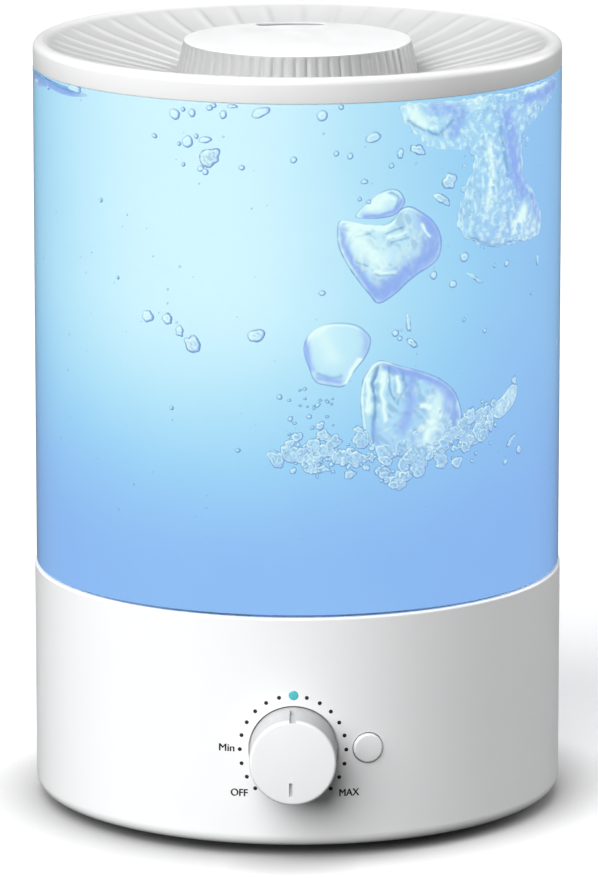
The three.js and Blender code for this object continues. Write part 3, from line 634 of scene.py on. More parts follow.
def make_knob():
    knob = revolve(rounded([
        (0, KNOB_FACE),
        (KNOB_FACE_R, KNOB_FACE, 1.1),
        (KNOB_R, POCKET_FLOOR + 0.3, 0.3),
        (KNOB_R - 2, POCKET_FLOOR + 0.3),
        (KNOB_FACE_R - 2, KNOB_FACE - WALL),
        (HUB_R, KNOB_FACE - WALL),
        (HUB_R, HUB_LOW),
        (SHAFT_R, HUB_LOW),
        (SHAFT_R, KNOB_FACE - 4),
        (0, KNOB_FACE - 4),
    ]), 160)
    notch = moved(box(2.4, 2, KNOB_FACE - 14, KNOB_FACE + 1), Matrix.Translation((0, KNOB_R - 0.2, 0)))
    mark = moved(box(1.2, 4.8, KNOB_FACE - 1.2, KNOB_FACE + 1), Matrix.Translation((-0.7, -9.5, 0)))
    knob = combine(knob, "DIFFERENCE", notch, mark)
    return piece("knob_body", moved(knob, on_side(0, KNOB_Z)), "knob",
                 KNOB_PAINTED_SHADE, ["mist_knob"])


def make_button():
    button = revolve(rounded([
        (0, 87.5),
        (1.6, 87.5),
        (1.6, 88),
        (6.8, 88),
        (6.8, 90.2),
        (5.1, 90.2),
        (5.1, BUTTON_FACE - 0.1, 0.7),
        (2.5, BUTTON_FACE - 0.02),
        (0, BUTTON_FACE),
    ]), 96)
    piece("button_cap", moved(button, on_side(BUTTON_TURN, KNOB_Z)), "button",
          FINISHES["white_shell"], ["lamp_button"])


def make_lamp():
    dome = []
    for k in range(7):
        bend = math.pi / 2 * k / 6
        dome.append((LAMP_R * math.cos(bend), BASE_R - 0.1 + 0.4 * math.sin(bend)))
    dome[-1] = (0, BASE_R + 0.3)
    lens = revolve([(0, 85.5), (3, 85.5), (3, 87.5), (LAMP_R, 87.5), *dome], 48)
    piece("lamp_dome", moved(lens, on_side(0, LAMP_Z)), "base", FINISHES["lamp"],
          ["lamp_lens"])


# ---- Tank, water and bubbles ------------------------------------------------

def make_tank():
    wall = revolve(rounded([
        (TANK_R - WALL, TANK_BOTTOM, 0.4),
        (TANK_R, TANK_BOTTOM, 0.6),
        (TANK_R, TANK_TOP, 0.5),
        (TANK_R - WALL, TANK_TOP, 0.5),
    ]))
    piece("tank_wall", wall, "tank", FINISHES["clear_tank"], ["tank_shell"])
    water = revolve(rounded([
        (WATER_BORE_R, WATER_LOW),
        (WATER_SHOULDER_R, WATER_LOW),
        (WATER_SHOULDER_R, 86.1),
        (WATER_R, 86.1),
        (WATER_R, 263.1),
        (WATER_SHOULDER_R, 263.1),
        (WATER_SHOULDER_R, WATER_HIGH, 1.2),
        (WATER_BORE_R, WATER_HIGH),
    ]))
    water = combine(water, "DIFFERENCE",
                    moved(rod(15, 80, 103), Matrix.Translation((45, 0, 0))))
    piece("tank_water", water, "tank", make_water())


DEGREE = math.radians(1) * WATER_R  # one degree round the water's surface, in mm
# Directions of the light painted on the bubbles, and of their painted inner highlight.
LIGHT = Vector((-0.5, 0.62, 0.6)).normalized()
INNER_LIGHT = Vector((0.55, -0.5, 0.67)).normalized()


def smooth(low, high, value):
    t = max(0.0, min(1.0, (value - low) / (high - low)))
    return t * t * (3 - 2 * t)


def spline_outline(points, count):
    """Closed smooth curve through points, as count points."""
    outline = []
    total = len(points)
    for i in range(count):
        at = i / count * total
        k = int(at)
        t = at - k
        a, b, c, d = (Vector(points[(k + j) % total]) for j in (-1, 0, 1, 2))
        outline.append(0.5 * (2 * b + (c - a) * t + (2 * a - 5 * b + 4 * c - d) * t * t
                              + (3 * b - a - 3 * c + d) * t ** 3))
    return outline


def ellipse(width, height, tilt, count=28, wobble=0.0, seed=0):
    outline = []
    for i in range(count):
        around = math.tau * i / count
        spoke = Vector((math.cos(around), math.sin(around), seed))
        size = 1 + wobble * noise.noise(spoke * 1.3)
        x = width / 2 * size * math.cos(around)
        y = height / 2 * size * math.sin(around)
        bend = math.radians(tilt)
        outline.append(Vector((x * math.cos(bend) - y * math.sin(bend),
                               x * math.sin(bend) + y * math.cos(bend))))
    return outline


def stroke_distance(at, points, seed):
    """Distance from a polyline whose path wavers a little."""
    waver = noise.noise_vector(Vector((at.x * 0.3, at.y * 0.3, seed)))
    here = at + Vector((waver.x, waver.y)) * 0.8
    nearest = 1e9
    for a, b in zip(points, points[1:]):
        along = max(0.0, min(1.0, (here - a).dot(b - a) / (b - a).length_squared))
        nearest = min(nearest, (here - a - (b - a) * along).length)
    return nearest


class BubbleSheet:
    """Collects closed, low domes on the water's surface, each vertex with its own painted light and
    shade.
    """

    def __init__(self):
        self.bm = bmesh.new()
        self.painted_shading = self.bm.verts.layers.float_color.new("painted_shading")

    def vertex(self, turn, z, at, rise, painted_shading):
        place = polar(WATER_R + rise, math.radians(turn) + at.x / WATER_R, z + at.y)
        made = self.bm.verts.new(place)
        made[self.painted_shading] = (*(max(0.0, min(1.0, t)) for t in painted_shading), 1)
        return made

    def add(self, turn, z, outline, lift=0.45, crumple=0.0, detail=0.35, strength=1.0, blue=0.5,
            rim=0.45, seed=0.0, rings=9, octaves=3, fill=0.0, foam=0.0, strokes=()):
        """crumple sets the folds in its skin and detail how many there are per mm; the folds show
        mostly as painted shade and highlights, and are raised in the mesh only a twentieth as deep.

        fill paints light over the inside, foam scatters painted bright and dark flecks over it, and
        strokes are painted streaks of highlight and shade in its skin: (kind of painted shading,
        width, strength, points).
        """
        size = sum(p.length for p in outline) / len(outline)

        def fold(at):
            where = Vector((at.x * detail, at.y * detail, seed))
            return noise.fractal(where, 0.6, 2.1, octaves) * crumple

        def painted_shading(at, share, reach):
            edge = (1 - share) * reach
            spoke = at.normalized() if at.length > 1e-6 else Vector((0, 0))
            # Painted light and shade: a made-up dome normal, bent by the folds, is shaded against
            # fixed light directions.
            lean = smooth(0.55, 1.0, share) * 1.1 + 0.25 * share
            step = 0.12
            slope = Vector((fold(at + Vector((step, 0))) - fold(at - Vector((step, 0))),
                            fold(at + Vector((0, step))) - fold(at - Vector((0, step)))))
            slope = slope / (2 * step) * 2.2
            normal = Vector((spoke.x * lean - slope.x, spoke.y * lean - slope.y, 1)).normalized()
            side = 0.5 + 0.5 * spoke.dot(Vector((0.75, -0.65)))
            # Painted shade along the outline, strongest towards the lower right, and painted shade in
            # the folds.
            painted_outline_shade = math.exp(-((edge - 0.25 * rim) / rim) ** 2) * (0.5 + 0.5 * side)
            painted_fold_shade = smooth(0.35, 1.1, slope.length) * 0.55
            # Painted highlights where the made-up normal faces either light direction.
            painted_highlight = max(0.0, normal.dot(LIGHT)) ** 14 + 0.7 * max(0.0, normal.dot(INNER_LIGHT)) ** 10
            # A painted bright ring inside the outline, painted glow over the inside, painted blue
            # shade on the lower right and a painted glint on the upper left of the inner edge.
            ring = math.exp(-((edge - 2.3 * rim) / (0.8 * rim)) ** 2) * 0.3
            glow = smooth(2.5, 9, size) * 0.12 + 0.1 + fill * smooth(0.5, 3.0, edge)
            painted_side_shade = blue * side * smooth(0.4 + 0.1 * side, 0.85, share) * smooth(0.3, 0.9, side)
            painted_glint = 0.5 * (1 - side) * math.exp(-((edge - 1.7 * rim) / (0.7 * rim)) ** 2)
            light = (0.55 * painted_highlight + ring + glow + painted_glint) * (1 - painted_outline_shade)
            if foam:
                # Painted bright flecks, with painted dark flecks among them.
                fleck = noise.fractal(Vector((at.x * 0.55, at.y * 0.4, seed + 5)), 0.7, 2.2, 3)
                light += foam * smooth(0.05, 0.4, fleck)
                painted_fold_shade += 0.3 * foam * smooth(0.1, 0.5, -fleck)
            tones = {
                "dark": strength * (painted_outline_shade + painted_fold_shade * (1 - ring)),
                "light": strength * light,
                "blue": strength * (painted_side_shade + 0.25 * painted_fold_shade),
            }
            # Painted streaks of highlight and shade laid over the rest.
            for kind, width, weight, points in strokes:
                near = stroke_distance(at, points, seed) / width
                share_here = weight * math.exp(-near ** 2)
                for other in tones:
                    tones[other] *= 1 - min(1.0, share_here) * (0.8 if other != kind else 0)
                tones[kind] += share_here
            return tones["dark"], tones["light"], tones["blue"]

        middle = [self.vertex(turn, z, Vector((0, 0)), lift + fold(Vector((0, 0))) * 0.05,
                              painted_shading(Vector((0, 0)), 0, size))]
        loops = [middle]
        for k in range(1, rings + 1):
            share = (k / rings) ** 0.8
            loop = []
            for point in outline:
                at = point * share
                rise = lift * math.sqrt(max(0.0, 1 - share ** 2)) + fold(at) * 0.05 * (1 - share)
                loop.append(self.vertex(turn, z, at, min(rise, 0.6) - 0.03,
                                        painted_shading(at, share, point.length)))
            loops.append(loop)
        under = self.vertex(turn, z, Vector((0, 0)), -0.3, (0, 0, 0))
        for low, high in zip(loops, loops[1:] + [[under]]):
            bridge(self.bm, low, high)

    def finish(self, name):
        bmesh.ops.recalc_face_normals(self.bm, faces=self.bm.faces)
        return piece(name, self.bm, "tank", PAINTED_BUBBLE_SHADING, sharp=80)


PAINTED_BUBBLE_SHADING = make_painted_bubble_shading()

# Air bubbles: turn in degrees, height, width across, height across, tilt in degrees. Their places
# and sizes, and those of FOLDED and of the large outlines and their streaks below, were measured on
# the photo and turned into these units by a separate script. BROW, the tilts, the fold depths and
# the streaks' widths and strengths were chosen.
BUBBLES = [
    (-26, 258.7, 4.6, 3.6, -35), (-22, 259.7, 2.8, 3.2, 0), (-24, 260.7, 1.8, 1.8, 0),
    (-18, 261.7, 2.5, 2.2, 0), (-17, 262.6, 2.1, 1.7, 0), (-15, 259.7, 2.9, 3.1, 0),
    (-13, 262.6, 4.1, 1.5, 0), (-7, 260.7, 6.8, 3.6, 22), (6, 259.7, 4, 4, 0), (10, 262.6, 2.1, 2, 0),
    (-23, 249.7, 4.5, 4.4, 20), (-21, 251.7, 1.8, 1.9, 0), (-19, 250.7, 4.9, 2.6, 5),
    (-24, 241.7, 1.7, 1.7, 0), (-20, 240.7, 2.9, 2.3, 15), (-19, 239.7, 2.6, 2.4, -30),
    (-11, 241.7, 2.5, 2, 0), (-25, 248.7, 1.7, 1.7, 0), (0, 244.7, 2.5, 2.5, 0),
    (-31, 250.7, 2.5, 1.7, -15), (-68, 260.7, 3.2, 3.2, 0),
    (-46, 225.7, 1.8, 1.8, 0), (-41, 199.7, 1.5, 1.5, 0), (-27, 156.7, 1.8, 1.8, 0),
    (-3, 162.7, 2.2, 2.2, 0), (-12, 143.7, 2.2, 1.8, 0),
    (17, 251.7, 5.9, 3.8, 15), (9, 246.7, 2.1, 2.1, 0), (12, 245.7, 2.5, 2.4, 0),
    (21, 241.7, 2.2, 2.1, 0), (15, 236.7, 2.8, 2, 0), (14, 230.7, 1.7, 1.7, 0), (16, 229.7, 2.1, 2, 0),
    (39, 207.7, 4.1, 3.8, 0), (31, 202.7, 3.2, 3.2, 0), (36, 198.7, 3.6, 2.9, 0),
    (52, 202.7, 2.9, 2.8, 0), (48, 202.7, 1.8, 2, 0), (65, 200.7, 2.6, 4.4, 0),
    (62, 189.7, 1.8, 1.8, 0), (39, 185.7, 1.8, 1.8, 0), (45, 180.7, 2.2, 2.1, 0),
    (22, 183.7, 2.8, 2.7, 0), (23, 181.7, 2.2, 2.2, 0), (6, 198.7, 2.6, 2, 0),
]

# Bubbles with folded skins: the same, then the depth of the folds, which show mostly as painted shade
# and highlights.
FOLDED = [
    (-18, 244.7, 8.2, 6.6, 20, 1.0), (-33, 187.7, 4.8, 4.1, 0, 0.6), (-28, 187.7, 4.2, 4, 0, 0.6),
    (-25, 183.7, 3.2, 4.2, 10, 0.6), (-22, 179.7, 6.6, 5.4, -35, 0.9), (-8, 183.7, 5.8, 4.8, 15, 0.7),
    (35, 234.7, 6.2, 5.8, 0, 0.8), (33, 228.7, 7.4, 3.4, -30, 0.9), (27, 246.7, 6.4, 3.6, -20, 0.9),
    (23, 245.7, 2.8, 3.6, 0, 0.5), (42, 199.7, 8.5, 1.6, -32, 0.5), (25, 186.7, 1.9, 6.6, 8, 0.7),
    (26, 179.7, 4.8, 2.6, -35, 0.8), (52, 153.7, 10, 4.4, 52, 1.1), (55, 160.7, 3.2, 3.2, 0, 0.5),
    (41, 151.7, 5.4, 7, 0, 0.8), (47, 148.7, 4.4, 8.5, 10, 1.0), (-55, 262.6, 8.6, 2.8, 0, 0.4),
    (54, 139.7, 6.4, 2.2, 38, 0.8), (52, 132.7, 2.8, 3, 0, 0.5), (57, 135.7, 3.4, 3.6, 20, 0.6),
]

# The large bubbles: outlines as (turn in degrees, height), and the painted streaks of highlight and
# shade in their skins as (kind of painted shading, half width in mm, strength, points).
HEART = [(9.6, 223.5), (12.3, 223.1), (15.4, 222.1), (19.1, 221.6), (21.7, 223.5), (23.3, 226.7),
         (25.5, 227.3), (28.2, 225), (30.9, 221.7), (32.7, 217.1), (33.1, 212.7), (32.3, 208.4),
         (30.2, 205.7), (27.5, 203.6), (24.9, 200.9), (21.7, 196.8), (18.2, 194.2), (16, 197.7),
         (13.5, 202.8), (11.4, 207.8), (9.6, 213.7), (9.1, 218.6)]
HEART_STREAKS = [
    ("blue", 4.6, 1.0, [(29.5, 222.7), (31, 215.7), (29.6, 208.7), (24.5, 203.7), (19.5, 198.2)]),
    ("blue", 1.5, 0.9, [(10.2, 221.2), (10.6, 214.7), (12.9, 207.7), (17.4, 197.7)]),
    ("light", 3.4, 0.55, [(13.3, 218.7), (15.5, 213.4), (18, 209.2)]),
    ("light", 0.7, 0.6, [(11, 222.3), (15.4, 220.9), (19.7, 220.3)]),
    ("dark", 0.45, 0.7, [(19.9, 218.5), (23.6, 219.9)]),
    ("dark", 0.45, 0.6, [(21, 215.4), (24.9, 216.6)]),
    ("light", 0.5, 0.6, [(20.4, 217), (24.3, 218.3)]),
    ("dark", 0.4, 0.4, [(13.1, 218.2), (16.6, 219.2)]),
    ("dark", 0.4, 0.5, [(13.4, 209.6), (15.6, 207.5)]),
    ("light", 0.6, 0.5, [(17.2, 205.3), (21.7, 204.7)]),
    ("dark", 0.4, 0.5, [(17.2, 204.3), (21.7, 203.7)]),
    ("light", 0.6, 0.7, [(28, 220.7), (29.8, 216.2)]),
]
HEART_CAP = [(13, 224.9), (15.4, 229.1), (17.9, 232.3), (20.7, 233.8), (22.9, 232.9),
             (24.2, 229.3), (23.3, 226.5), (21.7, 224.5), (18.5, 223.7), (15.4, 223.9)]
CAP_STREAKS = [
    ("blue", 1.2, 1.0, [(15, 224.6), (18, 224.6), (21.7, 225.9), (23.2, 229.2)]),
    ("light", 1.6, 0.7, [(16.5, 227.7), (19.5, 230.7)]),
    ("dark", 0.4, 0.7, [(20.7, 232.7), (22.4, 231), (22.2, 227.9)]),
    ("light", 0.4, 0.7, [(19.6, 232.3), (21.4, 230.3)]),
]
EGG = [(2.2, 177.2), (2.1, 180.7), (3.3, 185), (6.3, 187.9), (10.2, 188.4), (13.8, 187.1),
       (16.3, 183.5), (16.5, 180.1), (15.4, 175.8), (13.2, 171.5), (10.8, 166.1), (7.5, 166.3),
       (4.5, 167.9), (3, 173.3)]
EGG_STREAKS = [
    ("blue", 1.5, 1.0, [(2.6, 181.7), (2.6, 176.7), (3.4, 172.2)]),
    ("blue", 1.3, 0.6, [(14.8, 185.9), (15.9, 180.7), (15, 176.5)]),
    ("light", 0.6, 0.8, [(14.2, 175.3), (12.3, 171), (11.2, 167.3)]),
    ("light", 3.0, 0.4, [(6.5, 182.7), (8, 176.7)]),
    ("dark", 0.6, 0.6, [(5.1, 170.8), (7.5, 169.1), (10, 169.9)]),
    ("blue", 1.4, 0.7, [(5, 169.1), (9.6, 167.9)]),
]
DOME = [(18.2, 174.6), (22.9, 172.5), (28.2, 169.7), (33, 166.2), (36.6, 161.3), (38.1, 156.2),
        (38.6, 151.2), (37.6, 145.5), (35, 141.7), (29.5, 139.7), (22.9, 140.3), (17.8, 142.9),
        (15.2, 147.9), (14.4, 154.8), (14.2, 163.6), (15.2, 169.9)]
DOME_STREAKS = [
    ("blue", 1.6, 1.0, [(20, 172.1), (26.9, 168.9), (33.2, 164.1), (36.4, 158.7)]),
    ("blue", 1.8, 0.8, [(36.4, 154.7), (35.9, 148.7), (33, 143.7)]),
    ("dark", 0.7, 0.85, [(18.2, 172.7), (16.9, 166.4), (17.5, 156.7), (16.9, 146.7)]),
    ("light", 0.9, 0.8, [(16, 167.7), (15.8, 157.7)]),
    ("dark", 0.5, 0.7, [(20.7, 171.7), (20.4, 166.1), (21.7, 161.1)]),
    ("light", 0.8, 0.8, [(19.3, 169.7), (19, 161.7), (19.8, 153.7)]),
    ("dark", 0.5, 0.6, [(23.6, 169.7), (24.2, 164.8), (22.6, 159.1)]),
    ("light", 0.7, 0.8, [(22.6, 168.7), (22.9, 163.7)]),
    ("light", 2.6, 0.6, [(32.5, 160.2), (31.4, 153.7), (29.5, 145.7)]),
    ("light", 0.9, 1.0, [(28.3, 157.7), (30.2, 156.9)]),
    ("light", 0.9, 1.0, [(27.6, 143.1), (30.4, 141.9)]),
    ("blue", 2.6, 0.8, [(25.5, 165.7), (25.6, 156.7), (23.6, 150.7)]),
    ("blue", 2.2, 0.5, [(33.6, 161.7), (34.6, 154.7)]),
    ("blue", 1.2, 0.7, [(17.4, 151.7), (18, 145.7)]),
]
COLUMN = [(23.2, 262.6), (30, 262.6), (38, 262.6), (47.7, 262.6), (58.4, 262.6), (70, 262.6),
          (77, 262.2), (76.6, 257.7), (69, 255.9), (61.9, 254.9), (58.4, 251.5), (57.6, 242),
          (59.8, 228.8), (64.5, 221.7), (67, 215.2), (65.2, 209.7), (58.4, 208.5), (47.7, 209.4),
          (39.5, 213.7), (37, 221), (39, 230.4), (41.6, 239.7), (40.8, 247.7), (36.6, 252.3),
          (32.3, 247.2), (29.5, 248.1), (26.6, 251.9), (23.8, 257.7)]
COLUMN_STREAKS = [
    ("blue", 4.2, 0.95, [(51.8, 253.7), (53.4, 243.7), (54.4, 234.7), (57.5, 226.7)]),
    ("dark", 0.8, 0.6, [(49.4, 250.7), (50.6, 242.7), (52.2, 233.7)]),
    ("blue", 3.0, 0.8, [(31, 261.2), (38, 257.7), (36, 251.7)]),
    ("light", 2.2, 0.7, [(25.6, 259.7), (28.5, 256.2)]),
    ("dark", 0.6, 0.7, [(25, 256.5), (28.2, 253.3), (32.3, 251.1), (35.9, 255.3)]),
    ("blue", 2.0, 0.9, [(58.5, 258.2), (67, 258.9), (76, 259.7)]),
    ("light", 0.8, 0.7, [(59, 261.1), (69, 262.1)]),
    ("light", 2.4, 0.9, [(58.4, 219.7), (56, 214.2)]),
    ("light", 1.6, 0.6, [(46, 245.7), (47.5, 233.7), (45.5, 223.7)]),
    ("blue", 1.8, 0.7, [(62, 223.7), (65, 215.7)]),
    ("dark", 0.5, 0.6, [(40.5, 213.7), (47, 210.3), (57.3, 209.5)]),
]
BROW = [(-84, 263), (-70, 262.9), (-58, 262.6), (-50.5, 261.4), (-53.5, 260), (-60, 259.4),
        (-67, 260.2), (-73, 259.6), (-79, 257.8), (-84, 257.4)]
BROW_STREAKS = [
    ("blue", 2.6, 1.0, [(-82, 260.5), (-70, 261.4), (-56, 261)]),
    ("dark", 0.7, 0.8, [(-82, 262.6), (-66, 262.4), (-53, 261.4)]),
    ("light", 0.6, 0.6, [(-80, 259.4), (-76, 260.2)]),
]
WING = [(46.9, 152.3), (51.3, 156.9), (54.2, 159.7), (56.6, 157.9), (54.6, 151.7), (49.5, 148.3)]


def large_bubble(sheet, corners, count=200, rings=70, strokes=(), ragged=0.0, **look):
    turn = sum(c[0] for c in corners) / len(corners)
    z = sum(c[1] for c in corners) / len(corners)

    def flat(points):
        return [Vector(((p[0] - turn) * DEGREE, p[1] - z)) for p in points]

    placed = [(kind, width, weight, flat(points)) for kind, width, weight, points in strokes]
    outline = spline_outline(flat(corners), count)
    for point in outline:
        push = noise.noise_vector(Vector((point.x * 0.45, point.y * 0.45, 9)))
        point += Vector((push.x, push.y)) * ragged
    sheet.add(turn, z, outline, rings=rings, strokes=placed, **look)


def make_bubbles():
    sheet = BubbleSheet()
    for i, (turn, z, width, height, tilt) in enumerate(BUBBLES):
        sheet.add(turn, z, ellipse(width, height, tilt, wobble=0.2, seed=i), blue=1.6, rim=0.5,
                  seed=i)
    for i, (turn, z, width, height, tilt, crumple) in enumerate(FOLDED):
        outline = ellipse(width, height, tilt, 48, 0.35, i + 50)
        sheet.add(turn, z, outline, crumple=crumple * 0.8, detail=0.32, octaves=2, fill=0.15,
                  blue=1.8, rim=0.5, seed=i * 3.7, rings=18)
    sheet.finish("air_bubbles")

    sheet = BubbleSheet()
    large_bubble(sheet, HEART, crumple=1.4, detail=0.16, octaves=2, blue=0.4, rim=0.5, seed=2.3,
                 fill=0.1, strokes=HEART_STREAKS)
    large_bubble(sheet, HEART_CAP, 120, 40, crumple=0.5, detail=0.2, octaves=2, rim=0.45,
                 seed=5.1, fill=0.3, strokes=CAP_STREAKS)
    large_bubble(sheet, EGG, 140, 44, crumple=0.3, detail=0.1, octaves=2, rim=0.5, blue=0.3,
                 seed=8.2, fill=0.06, strokes=EGG_STREAKS)
    large_bubble(sheet, DOME, crumple=1.4, detail=0.14, octaves=2, rim=0.45, blue=0.4, seed=11.4,
                 fill=0.0, strokes=DOME_STREAKS)
    large_bubble(sheet, COLUMN, 300, 110, crumple=0.9, detail=0.16, octaves=2, strength=0.6,
                 rim=0.35, blue=0.5, seed=17.9, foam=0.8, ragged=1.3, strokes=COLUMN_STREAKS)
    large_bubble(sheet, BROW, 140, 24, crumple=0.3, rim=0.5, blue=1.0, strokes=BROW_STREAKS)
    large_bubble(sheet, WING, 100, 30, crumple=0.9, detail=0.3, octaves=2, rim=0.4, seed=23.5,
                 fill=0.3)
    sheet.finish("large_bubbles")

    chance = random.Random(7)
    sheet = BubbleSheet()
    for i in range(190):
        along = chance.random()
        turn = -2 + 49 * along + chance.gauss(0, 1.8)
        z = 143 - 6 * math.sin(math.pi * along) + 6 * along + chance.gauss(0, 4.4)
        size = 1.2 + 5 * chance.random() ** 2.2
        outline = ellipse(size * 1.3, size, chance.uniform(-60, 60), 24, 0.5, i)
        sheet.add(turn, z, outline, lift=chance.uniform(0.25, 0.55), crumple=0.8, detail=0.38,
                  octaves=2, fill=0.1, blue=1.0, rim=0.35, seed=i, rings=9)
    for i in range(60):
        turn, z = chance.uniform(36, 64), chance.uniform(209, 262)
        if turn < 36 + (z - 240) * -0.2 or turn > 60:
            turn = chance.uniform(40, 58)
        size = 1 + 3.4 * chance.random() ** 2
        outline = ellipse(size, size * 0.8, chance.uniform(-60, 60), 20, 0.4, i)
        sheet.add(turn, z, outline, lift=0.55, crumple=0.3, strength=0.6, fill=0.3, rim=0.3,
                  seed=i + 300, rings=6)
    for i in range(34):
        turn, z = chance.uniform(-8, 12), chance.uniform(138, 166)
        size = 1 + 2.6 * chance.random() ** 2
        outline = ellipse(size, size * 0.85, chance.uniform(-60, 60), 20, 0.3, i)
        sheet.add(turn * 0.5 + 3, z, outline, lift=0.4, crumple=0.3, seed=i + 400, rings=6)
    sheet.finish("foam_bubbles")

    sheet = BubbleSheet()
    for i in range(230):
        turn, z = chance.uniform(-180, 180), chance.uniform(110, 260)
        front = abs(turn) < 80
        size = 0.5 + (0.9 if front else 3.2) * chance.random() ** 3
        outline = ellipse(size, size * chance.uniform(0.75, 1), chance.uniform(-90, 90), 18, 0.1, i)
        sheet.add(turn, z, outline, lift=0.3, rim=0.3, strength=0.7, seed=i, rings=5)
    sheet.finish("fine_bubbles")


# ---- Lid and mist cap -------------------------------------------------------

RIB_COUNT = 42
RIB_RISE = 0.6
RIB_SPREAD = math.radians(1.9)  # half of a rib's width, as a turn
RIB_STEPS = [-1, -0.7, -0.4, -0.15, 0.15, 0.4, 0.7, 1]  # shares of that half width
VALLEY_STEPS = [0.25, 0.5, 0.75]  # shares of the way to the next rib
LID_SAMPLES = len(RIB_STEPS) + len(VALLEY_STEPS)


def lid_place(i, r, z):
    """Low ribs run out over the dish, wider towards the rim, and fade at both ends."""
    rib, k = divmod(i, LID_SAMPLES)
    pitch = math.tau / RIB_COUNT
    if k < len(RIB_STEPS):
        ends = smooth(DISH_IN, DISH_IN + 3, r) * (1 - smooth(DISH_OUT - 6, DISH_OUT - 0.5, r))
        on_dish = DISH_IN < r < DISH_OUT and z > dish_height(r) - 1
        rise = RIB_RISE * math.cos(RIB_STEPS[k] * math.pi / 2) ** 2 * ends
        return r, rib * pitch + RIB_STEPS[k] * RIB_SPREAD, z + (rise if on_dish else 0)
    share = VALLEY_STEPS[k - len(RIB_STEPS)]
    return r, rib * pitch + RIB_SPREAD + (pitch - 2 * RIB_SPREAD) * share, z


def dish_height(r):
    """The dish's upper surface: shallow near the cap and steeper towards the rim."""
    share = (r - DISH_IN) / (DISH_OUT - DISH_IN)
    return DISH_LOW + (DISH_HIGH - DISH_LOW) * (0.72 * share + 0.12 * share ** 2 + 0.16 * share ** 8)


def make_lid():
    dish_radii = [DISH_OUT - (DISH_OUT - DISH_IN) * (k / 24) ** 1.25 for k in range(25)]
    top = [(r, dish_height(r)) for r in dish_radii]
    under = [(r, dish_height(r) - WALL) for r in reversed(dish_radii) if r < 86]
    profile = rounded([
        (TANK_R, LID_BOTTOM, 0.3),
        (TANK_R, RIM_TOP, 2.6),
        (DISH_OUT + 0.6, RIM_TOP, 0.5),
        *top,
        (38.6, DISH_LOW),
        (38.6, 264, 0.4),
        (36.2, 264, 0.4),
        (36.2, 254.6),
        (24.5, 254.6),
        (24.5, 258.1),
        (22.3, 258.1),
        (22.3, 252.1),
        (38.6, 252.1),
        (38.6, DISH_LOW - WALL),
        *under,
        (86.4, 268),
        (86.4, 254),
        (88.8, 254, 0.5),
        (88.8, LID_BOTTOM),
    ], 6)
    lid = revolve(profile, RIB_COUNT * LID_SAMPLES, lid_place)
    piece("lid_dish", lid, "lid", LID_PAINTED_SHADE, ["lid_cover"])


CAP_RIBS = 64
CAP_SAMPLES = 8
SLOT_TURN = math.radians(185)
SLOT_HALF = math.radians(16)
SLOT_IN = 31.4
SLOT_OUT = 37.6


def cap_place(i, r, z):
    """Fine uneven grooves run down the cap's skirt."""
    rib, k = divmod(i, CAP_SAMPLES)
    on_skirt = r > CAP_TOP_R - 0.3 and z < CAP_TOP - 0.8
    depth = 0.42 + 0.3 * noise.noise(Vector((rib * 1.7, 0, 4)))
    groove = max(0.0, math.cos(math.tau * k / CAP_SAMPLES)) ** 1.5 * depth
    return r - (groove if on_skirt else 0), math.tau * i / (CAP_RIBS * CAP_SAMPLES), z


def crescent(low, high):
    """Cutter for the mist outlet: a curved slot with round ends."""
    middle, width = (SLOT_IN + SLOT_OUT) / 2, SLOT_OUT - SLOT_IN
    outline = []
    for k in range(25):
        outline.append(polar(SLOT_OUT, SLOT_TURN - SLOT_HALF + 2 * SLOT_HALF * k / 24, low))
    for k in range(1, 8):
        bend = math.pi * k / 8
        outline.append(polar(middle + width / 2 * math.cos(bend),
                             SLOT_TURN + SLOT_HALF + width / 2 * math.sin(bend) / middle, low))
    for k in range(25):
        outline.append(polar(SLOT_IN, SLOT_TURN + SLOT_HALF - 2 * SLOT_HALF * k / 24, low))
    for k in range(1, 8):
        bend = math.pi * k / 8
        outline.append(polar(middle - width / 2 * math.cos(bend),
                             SLOT_TURN - SLOT_HALF - width / 2 * math.sin(bend) / middle, low))
    bm = bmesh.new()
    bottom = [bm.verts.new(p) for p in outline]
    top = [bm.verts.new(p + Vector((0, 0, high - low))) for p in outline]
    bridge(bm, bottom, top)
    bm.faces.new(bottom)
    bm.faces.new(top)
    bmesh.ops.recalc_face_normals(bm, faces=bm.faces)
    return bm


def make_cap():
    skirt = []
    for k in range(1, 8):
        share = k / 8
        skirt.append((CAP_TOP_R + (CAP_SKIRT_R - CAP_TOP_R) * share,
                      CAP_TOP + (DISH_LOW + 0.8 - CAP_TOP) * share))
    cap = revolve(rounded([
        (0, CAP_TOP),
        (CAP_TOP_R, CAP_TOP, 0.9),
        *skirt,
        (CAP_SKIRT_R, DISH_LOW + 0.8),
        (CAP_SKIRT_R, DISH_LOW + 0.3),
        (CAP_SKIRT_R - 1.8, DISH_LOW + 0.3),
        (CAP_TOP_R - 1.6, CAP_TOP - WALL),
        (0, CAP_TOP - WALL),
    ]), CAP_RIBS * CAP_SAMPLES, cap_place)
    cap = combine(cap, "DIFFERENCE", crescent(CAP_TOP - 6, CAP_TOP + 4))
    piece("cap_shell", cap, "cap", CAP_PAINTED_SHADE, ["mist_cap"])


# ---- Pieces that stay as the CAD drew them ----------------------------------

def finish_cad_nodes():
    for part in frame["record"]["subparts"]:
        node = frame["nodes"][part["node"]]
        finish = FINISHES[part["material_slot"]]
        node.data.materials.clear()
        node.data.materials.append(finish)


# ---- Stage, light and camera ------------------------------------------------

